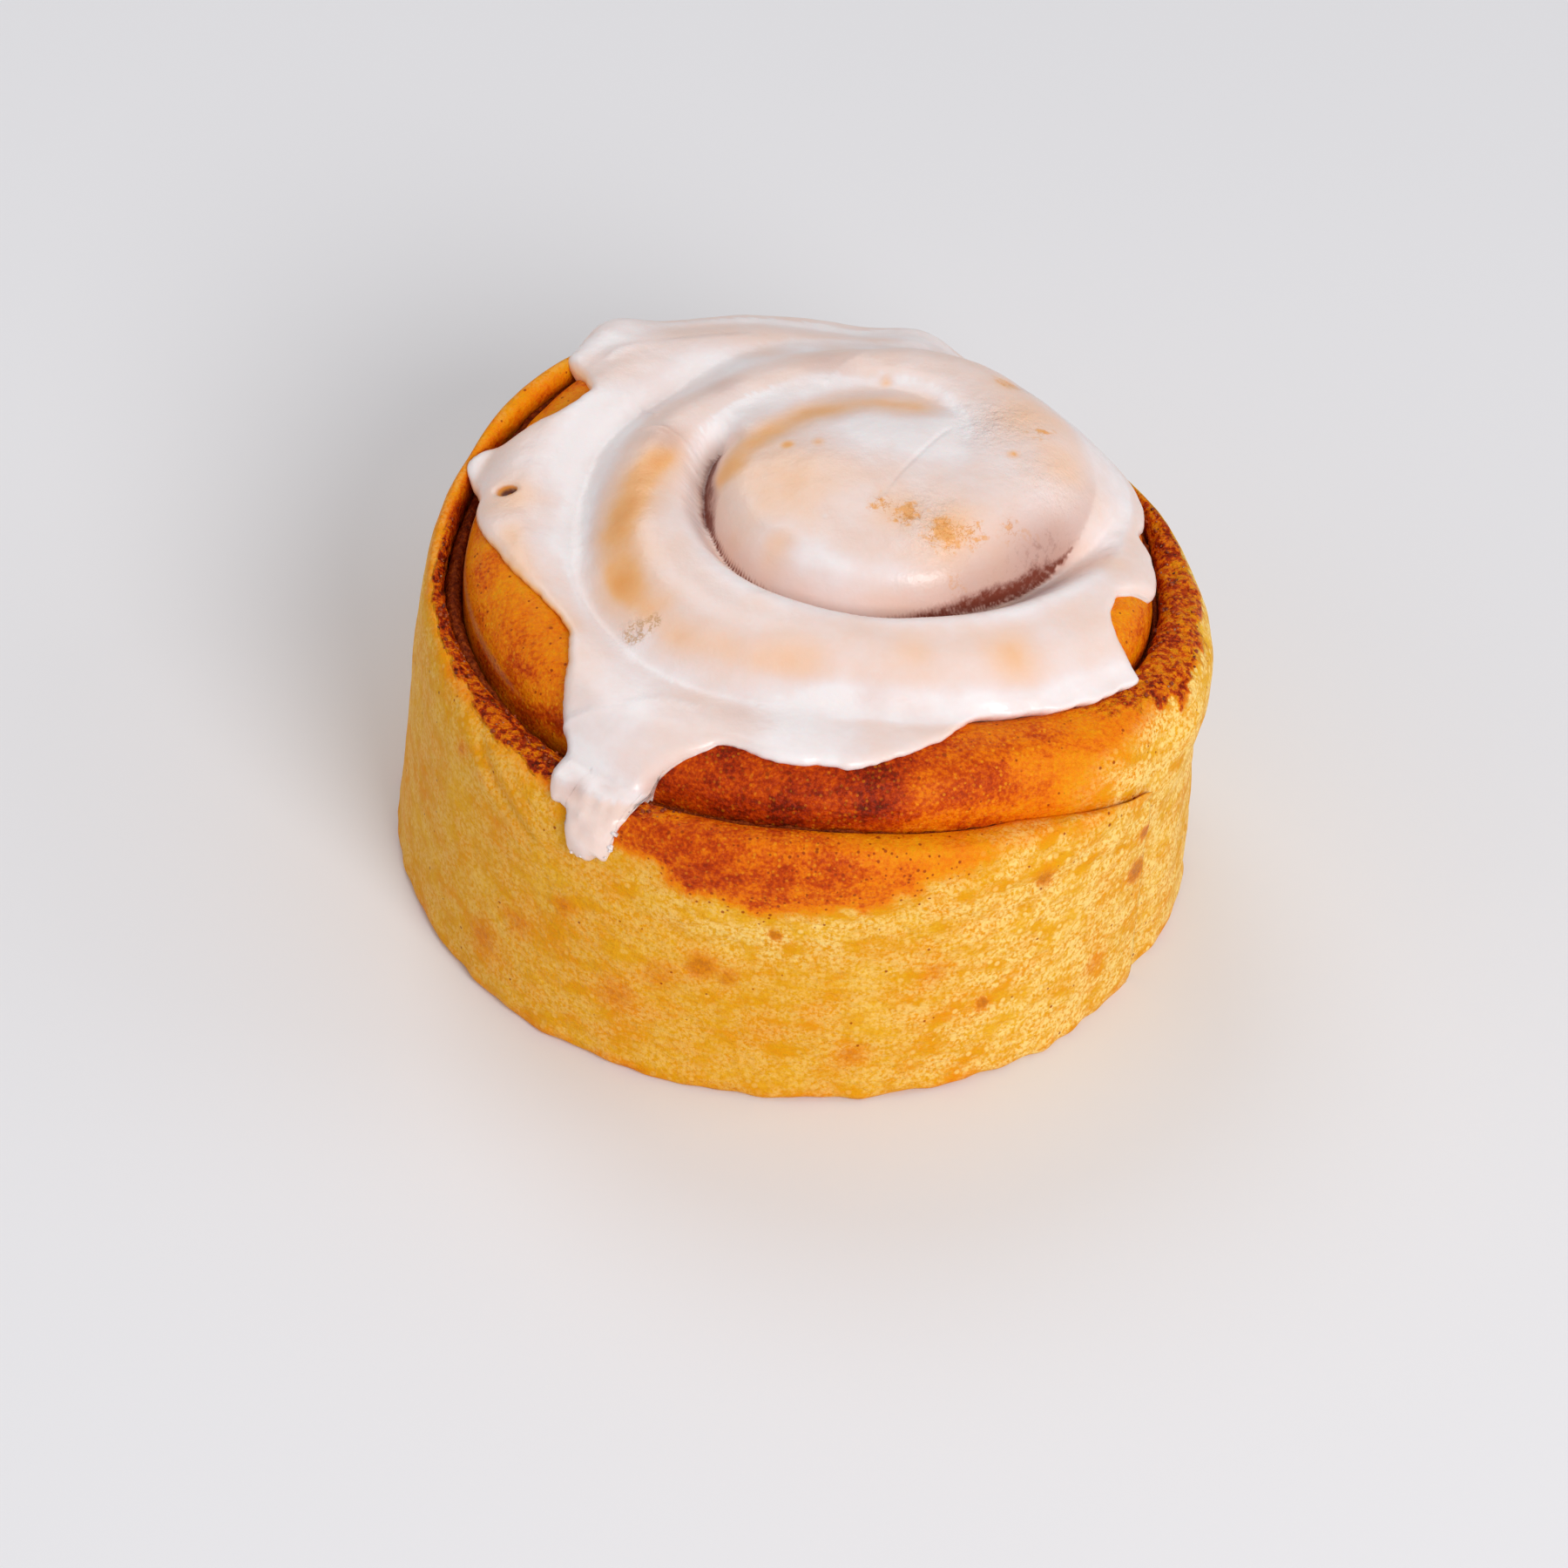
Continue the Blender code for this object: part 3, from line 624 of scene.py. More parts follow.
# %% The icing's measurements
CORE = np.array([0.0, 0.0, 14.0])
CORE_HEIGHT = CORE[2]
RAY_STEP = 0.01
RAY_REACH = 1.38
RAY_START = 100.0
ICING_EDGE = (
    (1.5, 54.4), (6, 55.4), (12, 55.6), (16.5, 53.8), (20, 55.7), (25, 57.4), (31, 58.6), (38, 59.6),
    (56, 60.4), (71, 60.9), (86, 60.4), (99, 60.4), (112, 60.6), (121, 60.6), (128, 60.2), (133, 58.0),
    (135.6, 57.0), (137.0, 53.6), (138.6, 51.8), (141.5, 51.9), (146.3, 52.8), (151.5, 55.3), (156.7, 58.6),
    (161.5, 60.0), (164.5, 59.4), (168.3, 57.4), (172, 57.2), (179.8, 54.3), (191, 50.6), (201, 48.4),
    (209.4, 48.4), (215, 50.3), (219, 53.2), (223.0, 56.8), (226.4, 59.6), (229.0, 62.2), (231.6, 64.0),
    (234.5, 64.7), (234.9, 67.0), (235.8, 69.3), (238.6, 70.2), (242.0, 69.0), (242.6, 66.4), (242.9, 64.0),
    (243.5, 62.4), (243.7, 60.0), (244.2, 57.4), (246.8, 53.4), (250.5, 50.4), (254, 48.6), (266, 49.4),
    (278, 49.6), (288, 48.7), (297, 47.7), (310, 46.8), (317.5, 48.8), (325, 51.2), (336, 54.4),
    (342.5, 55.2), (347, 50.0), (350.5, 48.4), (356, 48.4), (359, 50.4),
)
ICING_SPOKES = 720
ICING_RINGS = 100
ICING_THICKNESS = 1.5
GROOVE_SKIN = 0.4
EDGE_ROUNDING = 2.1
OPEN_GROOVE_WIDTH = 2.6
THINNED_SHARE = 0.35
LEAST_SKIN = 0.3
EDGE_TUCK = 0.25
print("points in the icing's outline:", len(ICING_EDGE))

# %% Looking at the roll from its core
def core_rays(places):
    """The directions from the core for pairs of angles. Both angles are 0 straight up."""
    tilt = np.linalg.norm(places, axis=-1)
    level = np.where(tilt > 1e-9, np.sin(tilt) / np.maximum(tilt, 1e-9), 1.0)
    return np.concatenate([places * level[..., None], np.cos(tilt)[..., None]], axis=-1)


def outside_distances(trees, places):
    """The distance from the core to the outside of the roll along each ray."""
    rays = core_rays(places).reshape(-1, 3)
    distances = np.zeros(len(rays))
    for k, ray in enumerate(rays):
        start = Vector((CORE + TO_FRAME + RAY_START * ray) * MM)
        gaps = [tree.ray_cast(start, Vector(-ray))[3] for tree in trees]
        distances[k] = RAY_START - min(gap for gap in gaps if gap is not None) / MM
    return distances.reshape(places.shape[:-1])


def widened(grid, cells):
    """Each cell takes the highest value within so many cells of it, to both sides."""
    for axis in (0, 1):
        padded = np.pad(grid, [(cells, cells) if k == axis else (0, 0) for k in (0, 1)], mode="edge")
        size = grid.shape[axis]
        grid = np.max([np.take(padded, range(k, k + size), axis=axis) for k in range(2 * cells + 1)], axis=0)
    return grid


def softened(grid, rounds):
    """Averages each cell with its neighbours, a number of times."""
    for _ in range(rounds):
        padded = np.pad(grid, 1, mode="edge")
        sides = padded[2:, 1:-1] + padded[:-2, 1:-1] + padded[1:-1, 2:] + padded[1:-1, :-2]
        grid = 0.5 * grid + 0.125 * sides
    return grid


def read_grid(grid, places):
    """The value between the cells of a grid of rays."""
    cell = (places + RAY_REACH) / RAY_STEP
    low = np.clip(cell.astype(int), 0, len(grid) - 2)
    u, v = np.moveaxis(cell - low, -1, 0)
    i, j = np.moveaxis(low, -1, 0)
    near = grid[i, j] * (1 - u) + grid[i + 1, j] * u
    far = grid[i, j + 1] * (1 - u) + grid[i + 1, j + 1] * u
    return near * (1 - v) + far * v


ray_angles = np.arange(-RAY_REACH, RAY_REACH + RAY_STEP / 2, RAY_STEP)
ray_places = np.stack(np.meshgrid(ray_angles, ray_angles, indexing="ij"), axis=-1)
view_layer = bpy.context.evaluated_depsgraph_get()
roll_trees = [BVHTree.FromObject(piece, view_layer) for piece in (dough, filling)]
bare = outside_distances(roll_trees, ray_places)
print("rays cast:", bare.size, "and the roll is", bare.min().round(1), "to", bare.max().round(1), "mm away")

# %% [markdown]
# ### Thick and thin
#
# Where the icing is thin it turns from white to pink and then to tan, because the dough shows through.
# The thin places lie over ridges, and a few are named here by their place in plan. So are the painted
# shade in the valleys and at the drip's neck, the brown in the deep groove round the eye, partly the
# dough's own colour under a thin film and partly painted shadow, the little hole at the west, the rubbed
# and scuffed patches and the thin raised lines where it ran. They could be painted onto the mesh, but
# paint is lost whenever the shell gets other rings, and these places are not.

# %% Thin, shaded and marked places of the icing
# Each ridge: a line in plan, its width and how thin the icing is along it.
THIN_RIDGES = (
    (((-21.0, 13.0), (-23.8, 7.0), (-25.2, 0.0), (-24.3, -7.5), (-21.0, -13.6)), 3.4, 0.88),
    (((-21.0, -13.6), (-17.8, -17.2), (-14.2, -19.6), (-7.5, -21.8), (-1.0, -21.5)), 2.8, 0.5),
    (((-13.0, 9.0), (-11.0, 13.0), (-8.2, 16.5), (-3.1, 20.4), (4.4, 22.4), (10.0, 22.4)), 2.8, 0.8),
    (((-34.0, -9.5), (-36.6, -4.5), (-38.0, 0.5)), 1.9, 0.5),
    (((-33.5, -10.5), (-30.0, -14.5)), 1.9, 0.5),
)
# The spots below have a place in plan, a radius and a strength.
# The spot at (21, -3), on the eye's lower right, is thin icing and partly painted shade.
THIN_PLACES = (
    (-6.0, 6.0, 8.0, 0.45), (-38.4, 7.5, 3.2, 0.5), (9.0, 0.6, 3.4, 0.5), (15.0, -1.8, 4.0, 0.55),
    (21.0, -3.0, 4.0, 0.25), (23.5, -16.5, 3.4, 0.5), (12.0, -18.6, 2.6, 0.3), (21.5, 28.8, 1.6, 0.85),
    (24.0, 21.0, 4.5, 0.4), (28.0, 14.0, 4.0, 0.35), (34.5, 3.5, 2.6, 0.45), (-5.2, -3.7, 2.4, 0.5),
    (0.0, 37.0, 3.0, 0.3), (16.0, 37.0, 4.0, 0.3), (-9.0, 36.0, 3.0, 0.35),
)
TAN_SPOTS = ((6.1, 28.4, 0.8, 0.9), (-5.4, 13.2, 1.0, 0.9), (-1.7, 13.3, 0.9, 0.7), (22.2, 12.7, 0.7, 0.9))
# Painted shade, pink and grey: in the valleys at the back, on the eye's right and at the drip's neck.
PAINTED_SHADE_PLACES = (
    (27.5, 2.0, 5.0, 0.15), (-14.2, 27.0, 3.2, 0.22), (-1.5, 31.5, 3.6, 0.25),
    (-20.5, 16.0, 3.0, 0.3), (-7.9, -27.6, 3.0, 0.16), (7.3, -24.7, 3.4, 0.12), (24.0, 31.0, 3.0, 0.2),
    (-26.5, -36.8, 1.8, 0.3), (-22.5, -36.4, 1.6, 0.2),
)
POOLS = (
    (4.6, 15.9, 6.0, 0.34), (12.0, 15.5, 6.5, 0.4), (-31.5, 2.4, 4.0, 0.2), (-33.0, 13.0, 5.0, 0.2),
    (-22.0, -27.0, 6.0, 0.25), (0.0, -33.0, 7.0, 0.32), (-30.0, 22.0, 5.0, 0.2),
)
# Where the icing stands up thicker: place, radius and millimetres.
THICK_PLACES = (
    (-27.5, 39.5, 5.0, 2.3), (10.0, 43.5, 5.0, 2.0), (-8.0, 43.0, 9.0, 0.4), (-26.0, -33.0, 6.0, 0.7),
    (-24.0, -27.0, 5.0, 0.3),
)
# The seam round the eye: turn, how far the brown reaches, how far the pink painted shade reaches, and its
# strength. The brown is partly the dough's own colour under a thin film and partly painted shadow in the deep
# gap.
EYE_PAINTED_SHADE = (
    (0.4, 0.02, 1.0, 0.0), (0.475, 0.02, 1.0, 0.0), (0.495, 0.7, 1.6, 0.2), (0.55, 0.7, 1.6, 0.2),
    (0.58, 0.2, 1.8, 0.14), (0.72, 0.12, 2.0, 0.14), (0.78, 0.2, 2.8, 0.25), (0.83, 0.34, 3.8, 0.4),
    (0.88, 0.36, 4.6, 0.42), (0.92, 0.2, 4.4, 0.36), (0.96, 0.02, 3.2, 0.3), (1.06, 0.02, 2.0, 0.0),
    (1.1, 0.02, 2.0, 0.0),
)
# Places where the film is rubbed through in tan crackles.
RUBBED = (
    (6.6, 1.6, 1.8, 0.9), (9.6, 0.3, 2.0, 1.0), (14.4, -2.1, 2.6, 1.05), (17.8, -1.4, 2.1, 0.75),
    (22.6, 0.9, 1.9, 0.65), (25.4, 1.6, 1.4, 0.5), (21.5, 28.8, 1.8, 0.8), (25.6, 18.4, 2.0, 0.5),
    (16.6, -7.0, 1.6, 0.5),
)
HOLE = (-39.6, 8.8)
SCUFFS = ((-21.4, -15.8, 1.5, 1.0), (-19.6, -15.2, 1.2, 1.0))
SCRATCH = ((6.3, 3.0), (9.0, 8.2), (14.2, 17.4))
# Thin raised lines that the icing left as it ran and set.
FLOW_LINES = (
    ((-29.0, 33.4), (-27.6, 35.1), (-22.5, 36.6), (-17.0, 38.3), (-11.6, 40.1)),
    ((-25.7, 26.0), (-23.6, 23.4), (-22.1, 21.6)),
    ((-23.5, 18.8), (-20.9, 17.8), (-17.5, 15.0)),
    ((2.8, 33.5), (0.8, 31.2), (-1.2, 27.8)),
    ((-29.6, -28.2), (-23.4, -27.9), (-17.3, -26.2), (-13.1, -27.0)),
)
ROUGH_PLACES = (
    (12.5, -1.0, 4.5, 1.0), (20.6, 18.9, 5.0, 0.8), (-21.4, -15.8, 2.0, 0.8), (26.0, 10.0, 5.0, 0.5),
)
END_OF_DRIP = ((-24.5, -38.5, 3.6, 1.0),)
# The groove round the eye that the icing leaves open, and the stretch of seam where the deep icing is kept
# from turning whiter: by turn.
OPEN_GROOVE = ((0.455, 0.485), (0.92, 1.0))
SUNKEN_SEAM = ((0.45, 0.5), (0.95, 1.05))
EYE_SEAM_TURNS = (0.4, 1.1)
print("thin ridges:", len(THIN_RIDGES), "and thin places:", len(THIN_PLACES))

# %% How deep the icing lies
def places_in_plan(places, distances):
    """The plan place of points at some distance along the rays."""
    spot = core_rays(places) * np.asarray(distances)[..., None]
    return spot[..., 0], spot[..., 1]


def thinned(x, y):
    """How thin the icing is, from 0 to 1, over ridges and thin places. The noise breaks the ridges up."""
    spot = np.stack([x, y], axis=-1)
    uneven = 0.85 + 0.35 * lumps(np.stack([x, y, 0 * x], axis=-1), 6.0, 37)
    thin = soft_spots(x, y, THIN_PLACES)
    for line, width, strength in THIN_RIDGES:
        thin = np.maximum(thin, strength * uneven * bell(away_from_line(spot, line), width))
    return np.clip(thin, 0.0, 1.0)


def beside_eye(x, y):
    """For a place in plan: the turn of the seam nearest to it round the eye, and how far outside it lies."""
    turns = np.linspace(*EYE_SEAM_TURNS, 240)
    seam = KDTree(len(turns))
    for k, point in enumerate(seam_line(turns)):
        seam.insert((*point, 0.0), k)
    seam.balance()
    found = [seam.find((px, py, 0.0))[1:] for px, py in zip(np.ravel(x), np.ravel(y))]
    nearest = turns[[k for k, gap in found]].reshape(np.shape(x))
    gap = np.array([gap for k, gap in found]).reshape(np.shape(x))
    reach = np.hypot(x - EYE_CENTRE[0], y - EYE_CENTRE[1])
    own = seam_line(nearest) - np.array(EYE_CENTRE)
    return nearest, np.where(reach > np.hypot(own[..., 0], own[..., 1]), gap, -gap)


plan_x, plan_y = places_in_plan(ray_places, bare)
eye_turn, off_seam = beside_eye(plan_x, plan_y)
open_groove = window(eye_turn, *OPEN_GROOVE) * bell(off_seam, OPEN_GROOVE_WIDTH)
thin_grid = thinned(plan_x, plan_y)
hugging = softened(widened(bare, 1), 4) * open_groove + softened(widened(bare, 2), 16) * (1 - open_groove)
resting = softened(bare, 4)
bridging = softened(-widened(-widened(bare, 13), 13), 26)
full_icing = bridging + ICING_THICKNESS * (1 - THINNED_SHARE * thin_grid)
full_icing = full_icing * (1 - open_groove) + (hugging + GROOVE_SKIN) * open_groove
full_icing = np.maximum(full_icing, hugging + LEAST_SKIN) + soft_spots(plan_x, plan_y, THICK_PLACES)
near_top = np.linalg.norm(ray_places, axis=-1) < 0.8
print("icing is up to", (full_icing - bare)[near_top].max().round(1), "mm deep")

# %% The icing's edge
DRIP_END = (math.radians(-34.5), math.radians(-58.5), math.radians(7.0), 1.0)
TILT_TO_MM = 45.0


def icing_outline(count):
    """The outline as pairs of angles, at even steps, with small ripples and a crumbling end on the drip."""
    compass_of, tilt_of = np.radians(np.array(ICING_EDGE, float)).T
    corners = tilt_of * np.array([np.cos(compass_of), np.sin(compass_of)])
    steps_along = np.arange(0.0, len(ICING_EDGE), 0.02)
    rounded = [closed_curve(enumerate(part), len(ICING_EDGE), steps_along) for part in corners]
    line = np.stack(rounded, axis=-1)
    facing = line / np.linalg.norm(line, axis=-1, keepdims=True)
    around = np.concatenate([line * TILT_TO_MM, np.zeros((len(line), 1))], axis=-1)
    on_drip = soft_spots(line[:, 0], line[:, 1], [DRIP_END])
    ripples = 0.3 * lumps(around, 3.5, 21) + 0.14 * lumps(around, 1.2, 22)
    crumbling = on_drip * (0.9 * lumps(around, 1.4, 23) + 0.5 * lumps(around, 0.7, 24))
    sideways = on_drip * 0.3 * lumps(around, 1.3, 25)
    line = line + facing * ((ripples + crumbling) / TILT_TO_MM)[:, None]
    line = line + np.stack([-facing[:, 1], facing[:, 0]], axis=-1) * (sideways / TILT_TO_MM)[:, None]
    steps = np.linalg.norm(np.roll(line, -1, axis=0) - line, axis=1)
    steps += 0.4 * steps.mean()
    travelled = np.concatenate([[0.0], np.cumsum(steps)[:-1]])
    return line[np.searchsorted(travelled, np.arange(count) * travelled[-1] / count)]


outline = icing_outline(ICING_SPOKES)
turned = 2 * math.pi * np.arange(ICING_SPOKES) / ICING_SPOKES
round_ring = math.radians(54) * np.stack([np.cos(turned), np.sin(turned)], axis=-1)


def ring_places(part):
    """One ring of the icing: round near the middle, and the outline itself at the edge."""
    share = 0.5 * part + 0.5 * math.sin(0.5 * math.pi * part)
    return share * (round_ring * (1 - share**2) + outline * share**2)


places = np.stack([ring_places(k / ICING_RINGS) for k in range(1, ICING_RINGS + 1)])
low = read_grid(resting, places)
base_points = core_rays(places) * low[..., None]
edge_tree = KDTree(ICING_SPOKES)
for k, point in enumerate(base_points[-1]):
    edge_tree.insert(point, k)
edge_tree.balance()
from_edge = np.array([edge_tree.find(point)[2] for point in base_points.reshape(-1, 3)]).reshape(low.shape)
inset = np.clip(from_edge / EDGE_ROUNDING, 0.0, 1.0)
lift = np.sqrt(1 - (1 - inset) ** 2)
print("the icing's edge is", length_of(base_points[-1]), "mm long")

# %% The icing's surface
def marks_of(x, y):
    """The marks in the icing's surface, in millimetres, and where the hole and the scuff are."""
    spot = np.stack([x, y], axis=-1)
    hole = np.exp(-(((x - HOLE[0]) / 1.2) ** 2 + ((y - HOLE[1]) / 0.9) ** 2) ** 2)
    scratch = bell(away_from_line(spot, SCRATCH), 0.3)
    scuff = soft_spots(x, y, SCUFFS)
    ridges = sum(bell(away_from_line(spot, line), 0.4) for line in FLOW_LINES)
    return -1.2 * hole - 0.15 * scratch - 0.12 * scuff + 0.26 * ridges, hole, scuff


high = low - EDGE_TUCK + (read_grid(full_icing, places) - low + EDGE_TUCK) * lift
x, y = places_in_plan(places, high)
marks, hole, scuff = marks_of(x, y)
rough = soft_spots(x, y, ROUGH_PLACES)
top_points = core_rays(places) * high[..., None]
flowing = 0.16 * lumps(top_points, 7.0, 31) + 0.05 * lumps(top_points, 2.5, 32)
grainy = 0.22 * rough * lumps(top_points, 1.6, 33) + 0.1 * rough * lumps(top_points, 0.8, 39)
end_of_drip = soft_spots(x, y, END_OF_DRIP) * smooth_step(42.0, 38.0, top_points[..., 2] + CORE_HEIGHT)
crumbly = 0.8 * end_of_drip * lumps(top_points, 1.8, 34)
high = high + lift * (flowing + grainy + crumbly) + marks
top_points = core_rays(places) * high[..., None] + CORE
print("the icing's top has", top_points.shape[0], "rings of", top_points.shape[1], "points")

# %% How white the icing is, and where shade is painted on it
thickness = high - read_grid(bare, places)
thin_edge = smooth_step(-10.0, -20.0, x) * smooth_step(-26.0, -20.0, y)
eye_turn, off_seam = beside_eye(x, y)
in_groove = window(eye_turn, *SUNKEN_SEAM) * bell(off_seam, 2.0)
valley = smooth_step(1.5, 2.8, thickness) * (1 - in_groove)
cover = 0.74 + 0.22 * valley + soft_spots(x, y, POOLS) + 0.08 * lumps(top_points, 8.0, 35)
cover = cover - 0.75 * np.maximum(thinned(x, y), soft_spots(x, y, TAN_SPOTS))
cover = cover - 0.45 * thin_edge * (1 - smooth_step(0.2, 1.4, from_edge))
# Painted shade round the eye. The brown along the seam is partly the dough's own colour under a thin film and
# partly painted shadow in the deep gap. The pink beside it is painted shade.
rows = np.array(EYE_PAINTED_SHADE)
brown_reach, pink_reach, pink_strength = (curve_through(rows[:, [0, k]], eye_turn) for k in (1, 2, 3))
uneven_reach = off_seam / brown_reach + 0.5 * lumps(top_points, 3.0, 38)
brown = smooth_step(2.6, 0.2, -uneven_reach) * smooth_step(1.4, 0.0, uneven_reach)
brown = brown * smooth_step(0.03, 0.12, brown_reach)
pink_painted_shade = pink_strength * bell(off_seam, pink_reach) * smooth_step(0.6, -0.4, off_seam)
painted_shade_and_seam_brown = np.clip(np.maximum(soft_spots(x, y, PAINTED_SHADE_PLACES) + pink_painted_shade, brown), 0.0, 1.0)
icing_numbers = {"cover": np.clip(cover, 0.0, 1.0), "painted_shade_and_seam_brown": painted_shade_and_seam_brown, "stained": np.clip(1.2 * hole, 0.0, 1.0)}
icing_numbers.update(rough=rough, scuffed=scuff, rubbed=soft_spots(x, y, RUBBED))
print("mean cover of the icing:", cover.mean().round(2))

# %% The icing as a closed shell
UNDER_RINGS = 24
UNDER_DEPTH = 0.45
HUB_COVER = 0.8
underneath = -widened(-bare, 6) - UNDER_DEPTH


def icing_shell():
    """The top from its hub to its edge, then the underside back to its own hub, inside the dough."""
    build = bmesh.new()
    middle = np.array([[0.0, 0.0]])
    top_hub = build.verts.new((0, 0, CORE_HEIGHT + float(read_grid(full_icing, middle)[0])))
    rings = [[build.verts.new(point) for point in ring] for ring in top_points.tolist()]
    for k in range(UNDER_RINGS, 0, -1):
        under = ring_places(k / UNDER_RINGS)
        points = core_rays(under) * read_grid(underneath, under)[:, None] + CORE
        rings.append([build.verts.new(point) for point in points.tolist()])
    under_hub = build.verts.new((0, 0, CORE_HEIGHT + float(read_grid(underneath, middle)[0])))
    for k in range(ICING_SPOKES):
        after = (k + 1) % ICING_SPOKES
        build.faces.new((top_hub, rings[0][k], rings[0][after]))
        build.faces.new((under_hub, rings[-1][after], rings[-1][k]))
        for ring, following in zip(rings, rings[1:]):
            build.faces.new((ring[k], following[k], following[after], ring[after]))
    return build


def with_hubs(values, at_hub):
    """A number for each point of the shell: hub, rings, underside and its hub."""
    return np.concatenate([[at_hub], np.ravel(values), np.full(UNDER_RINGS * ICING_SPOKES + 1, at_hub)])


at_hubs = {title: HUB_COVER if title == "cover" else 0.0 for title in icing_numbers}
shell_numbers = {title: with_hubs(values, at_hubs[title]) for title, values in icing_numbers.items()}
icing = finish_piece("poured_icing", icing_shell(), shell_numbers, "sugar_icing")
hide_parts("icing")

# %% [markdown]
# ## Crumbs and crystals
#
# Grains of baked cinnamon sugar sit on the crusted dough, at the east and along the inner side of the
# west rim, with a few clear sugar crystals between them that glint. They are small lumpy balls, all of
# one kind in one mesh, so that they stay one piece. A particle system would scatter them too, but they
# would not leave the file with the roll.

# %% Scattering grains
CRUMBS = 150
CRUMB_RADII = (0.12, 0.36)
CRYSTALS = 44
CRYSTAL_RADII = (0.09, 0.2)
GRAIN_LUMPINESS = 0.3
SQUASH = (0.65, 1.25)


def ball_points():
    """The corners and faces of a small round ball."""
    build = bmesh.new()
    bmesh.ops.create_icosphere(build, subdivisions=1, radius=1.0)
    corners = np.array([corner.co[:] for corner in build.verts])
    faces = np.array([[corner.index for corner in face.verts] for face in build.faces])
    build.free()
    return corners, faces


def grains(name, spots, radii, lumpiness, seed, material_slot):
    """Small lumps at the given spots, joined into one piece."""
    chance = np.random.default_rng(seed)
    corners, faces = ball_points()
    build = bmesh.new()
    for spot, radius in zip(spots, radii):
        squash = chance.uniform(*SQUASH, 3)
        lumpy = 1 + lumpiness * chance.uniform(-1, 1, (len(corners), 1))
        turn_by = np.array(Matrix.Rotation(chance.uniform(0, 6.28), 3, Vector(chance.normal(size=3))))
        points = corners * lumpy * squash @ turn_by * radius + spot
        made = [build.verts.new(point) for point in points.tolist()]
        for face in faces:
            build.faces.new([made[corner] for corner in face])
    return finish_piece(name, build, {}, material_slot)


def crusted_spots(count, seed):
    """Random places on the crusted parts of the dough."""
    chance = np.random.default_rng(seed)
    weight = (crusted * (across[None, :] > 0.02) * (smooth_dough[..., 2] > 30)).ravel()
    weight *= np.where(turn.ravel() > 2.3, 1.5, 1.0)
    chosen = chance.choice(weight.size, count, p=weight / weight.sum())
    return rough_dough.reshape(-1, 3)[chosen]


chance = np.random.default_rng(5)
radii = chance.uniform(*CRUMB_RADII, CRUMBS)
crumbs = grains("cinnamon_crumbs", crusted_spots(CRUMBS, 6), radii, GRAIN_LUMPINESS, 7, "cinnamon")
radii = chance.uniform(*CRYSTAL_RADII, CRYSTALS)
crystals = grains("sugar_crystals", crusted_spots(CRYSTALS, 8), radii, GRAIN_LUMPINESS, 9, "sugar_icing")

# %% [markdown]
# ### Crumbled icing
#
# The drip ended thin, dried first and broke into flakes at its edge. The larger breaks are in the icing's
# own outline. The loose bits are made as the grains are, a dozen or so of white sugar, scattered near the
# drip's end. Cutting them out of the shell would also do, but its mesh would need far finer rings there.

# %% Icing that crumbled at the end of the drip
FLAKES = 14
FLAKE_RADII = (0.12, 0.42)
FLAKE_LUMPINESS = 0.55
FLAKED_PLACE = np.array([-24.0, -40.5, 34.5])
FLAKED_REACH = 5.5


def crumbled_spots(count, seed):
    """Random places on the icing's edge round the end of the drip."""
    chance = np.random.default_rng(seed)
    edge = top_points[-3]
    weight = bell(np.linalg.norm(edge - FLAKED_PLACE, axis=1), FLAKED_REACH)
    chosen = chance.choice(len(edge), count, p=weight / weight.sum())
    return edge[chosen] + chance.normal(0.0, 0.15, (count, 3))


radii = chance.uniform(*FLAKE_RADII, FLAKES)
flakes = grains("icing_flakes", crumbled_spots(FLAKES, 14), radii, FLAKE_LUMPINESS, 15, "sugar_icing")

# %% [markdown]
# ## Finishes
#
# Each finish is a small network that turns the stored numbers and some fine noise into colour, shine and
# tiny bumps. A picture wrapped round the roll would be quicker to look at, but it blurs when the camera
# comes near, while noise stays sharp. The helpers below keep the networks short. Sizes are given in the
# roll's own millimetres, so a speck has the size it has on the real crust.

# %% Building a finish's network
def new_finish(name):
    """A material, its network and its main shader."""
    finish = bpy.data.materials.new(name)
    finish.use_nodes = True
    return finish, finish.node_tree, finish.node_tree.nodes["Principled BSDF"]


def add_node(tree, kind, links=(), **settings):
    """A node with its settings, fed by the given sockets or numbers: pairs of input and source."""
    made = tree.nodes.new(kind)
    for title, value in settings.items():
        setattr(made, title, value)
    for socket, source in links:
        if isinstance(source, bpy.types.NodeSocket):
            tree.links.new(source, made.inputs[socket])
        else:
            made.inputs[socket].default_value = source
    return made


def stored(tree, title):
    """A number that was stored at the mesh's points."""
    return add_node(tree, "ShaderNodeAttribute", attribute_name=title).outputs["Fac"]


def sum_of(tree, a, b, how="ADD"):
    """Two numbers added, or put together in another way."""
    return add_node(tree, "ShaderNodeMath", [(0, a), (1, b)], operation=how).outputs[0]


def times(tree, *factors):
    """Numbers multiplied with each other."""
    total = factors[0]
    for factor in factors[1:]:
        total = sum_of(tree, total, factor, "MULTIPLY")
    return total


print("numbers can be added, multiplied and read from the mesh")

# %% Noise, specks and lines
def fitted(tree, value, low, high, new_low=0.0, new_high=1.0):
    """A number moved from one range into another, and kept inside it."""
    links = [("Value", value), ("From Min", low), ("From Max", high)]
    links += [("To Min", new_low), ("To Max", new_high)]
    return add_node(tree, "ShaderNodeMapRange", links, interpolation_type="SMOOTHSTEP").outputs["Result"]


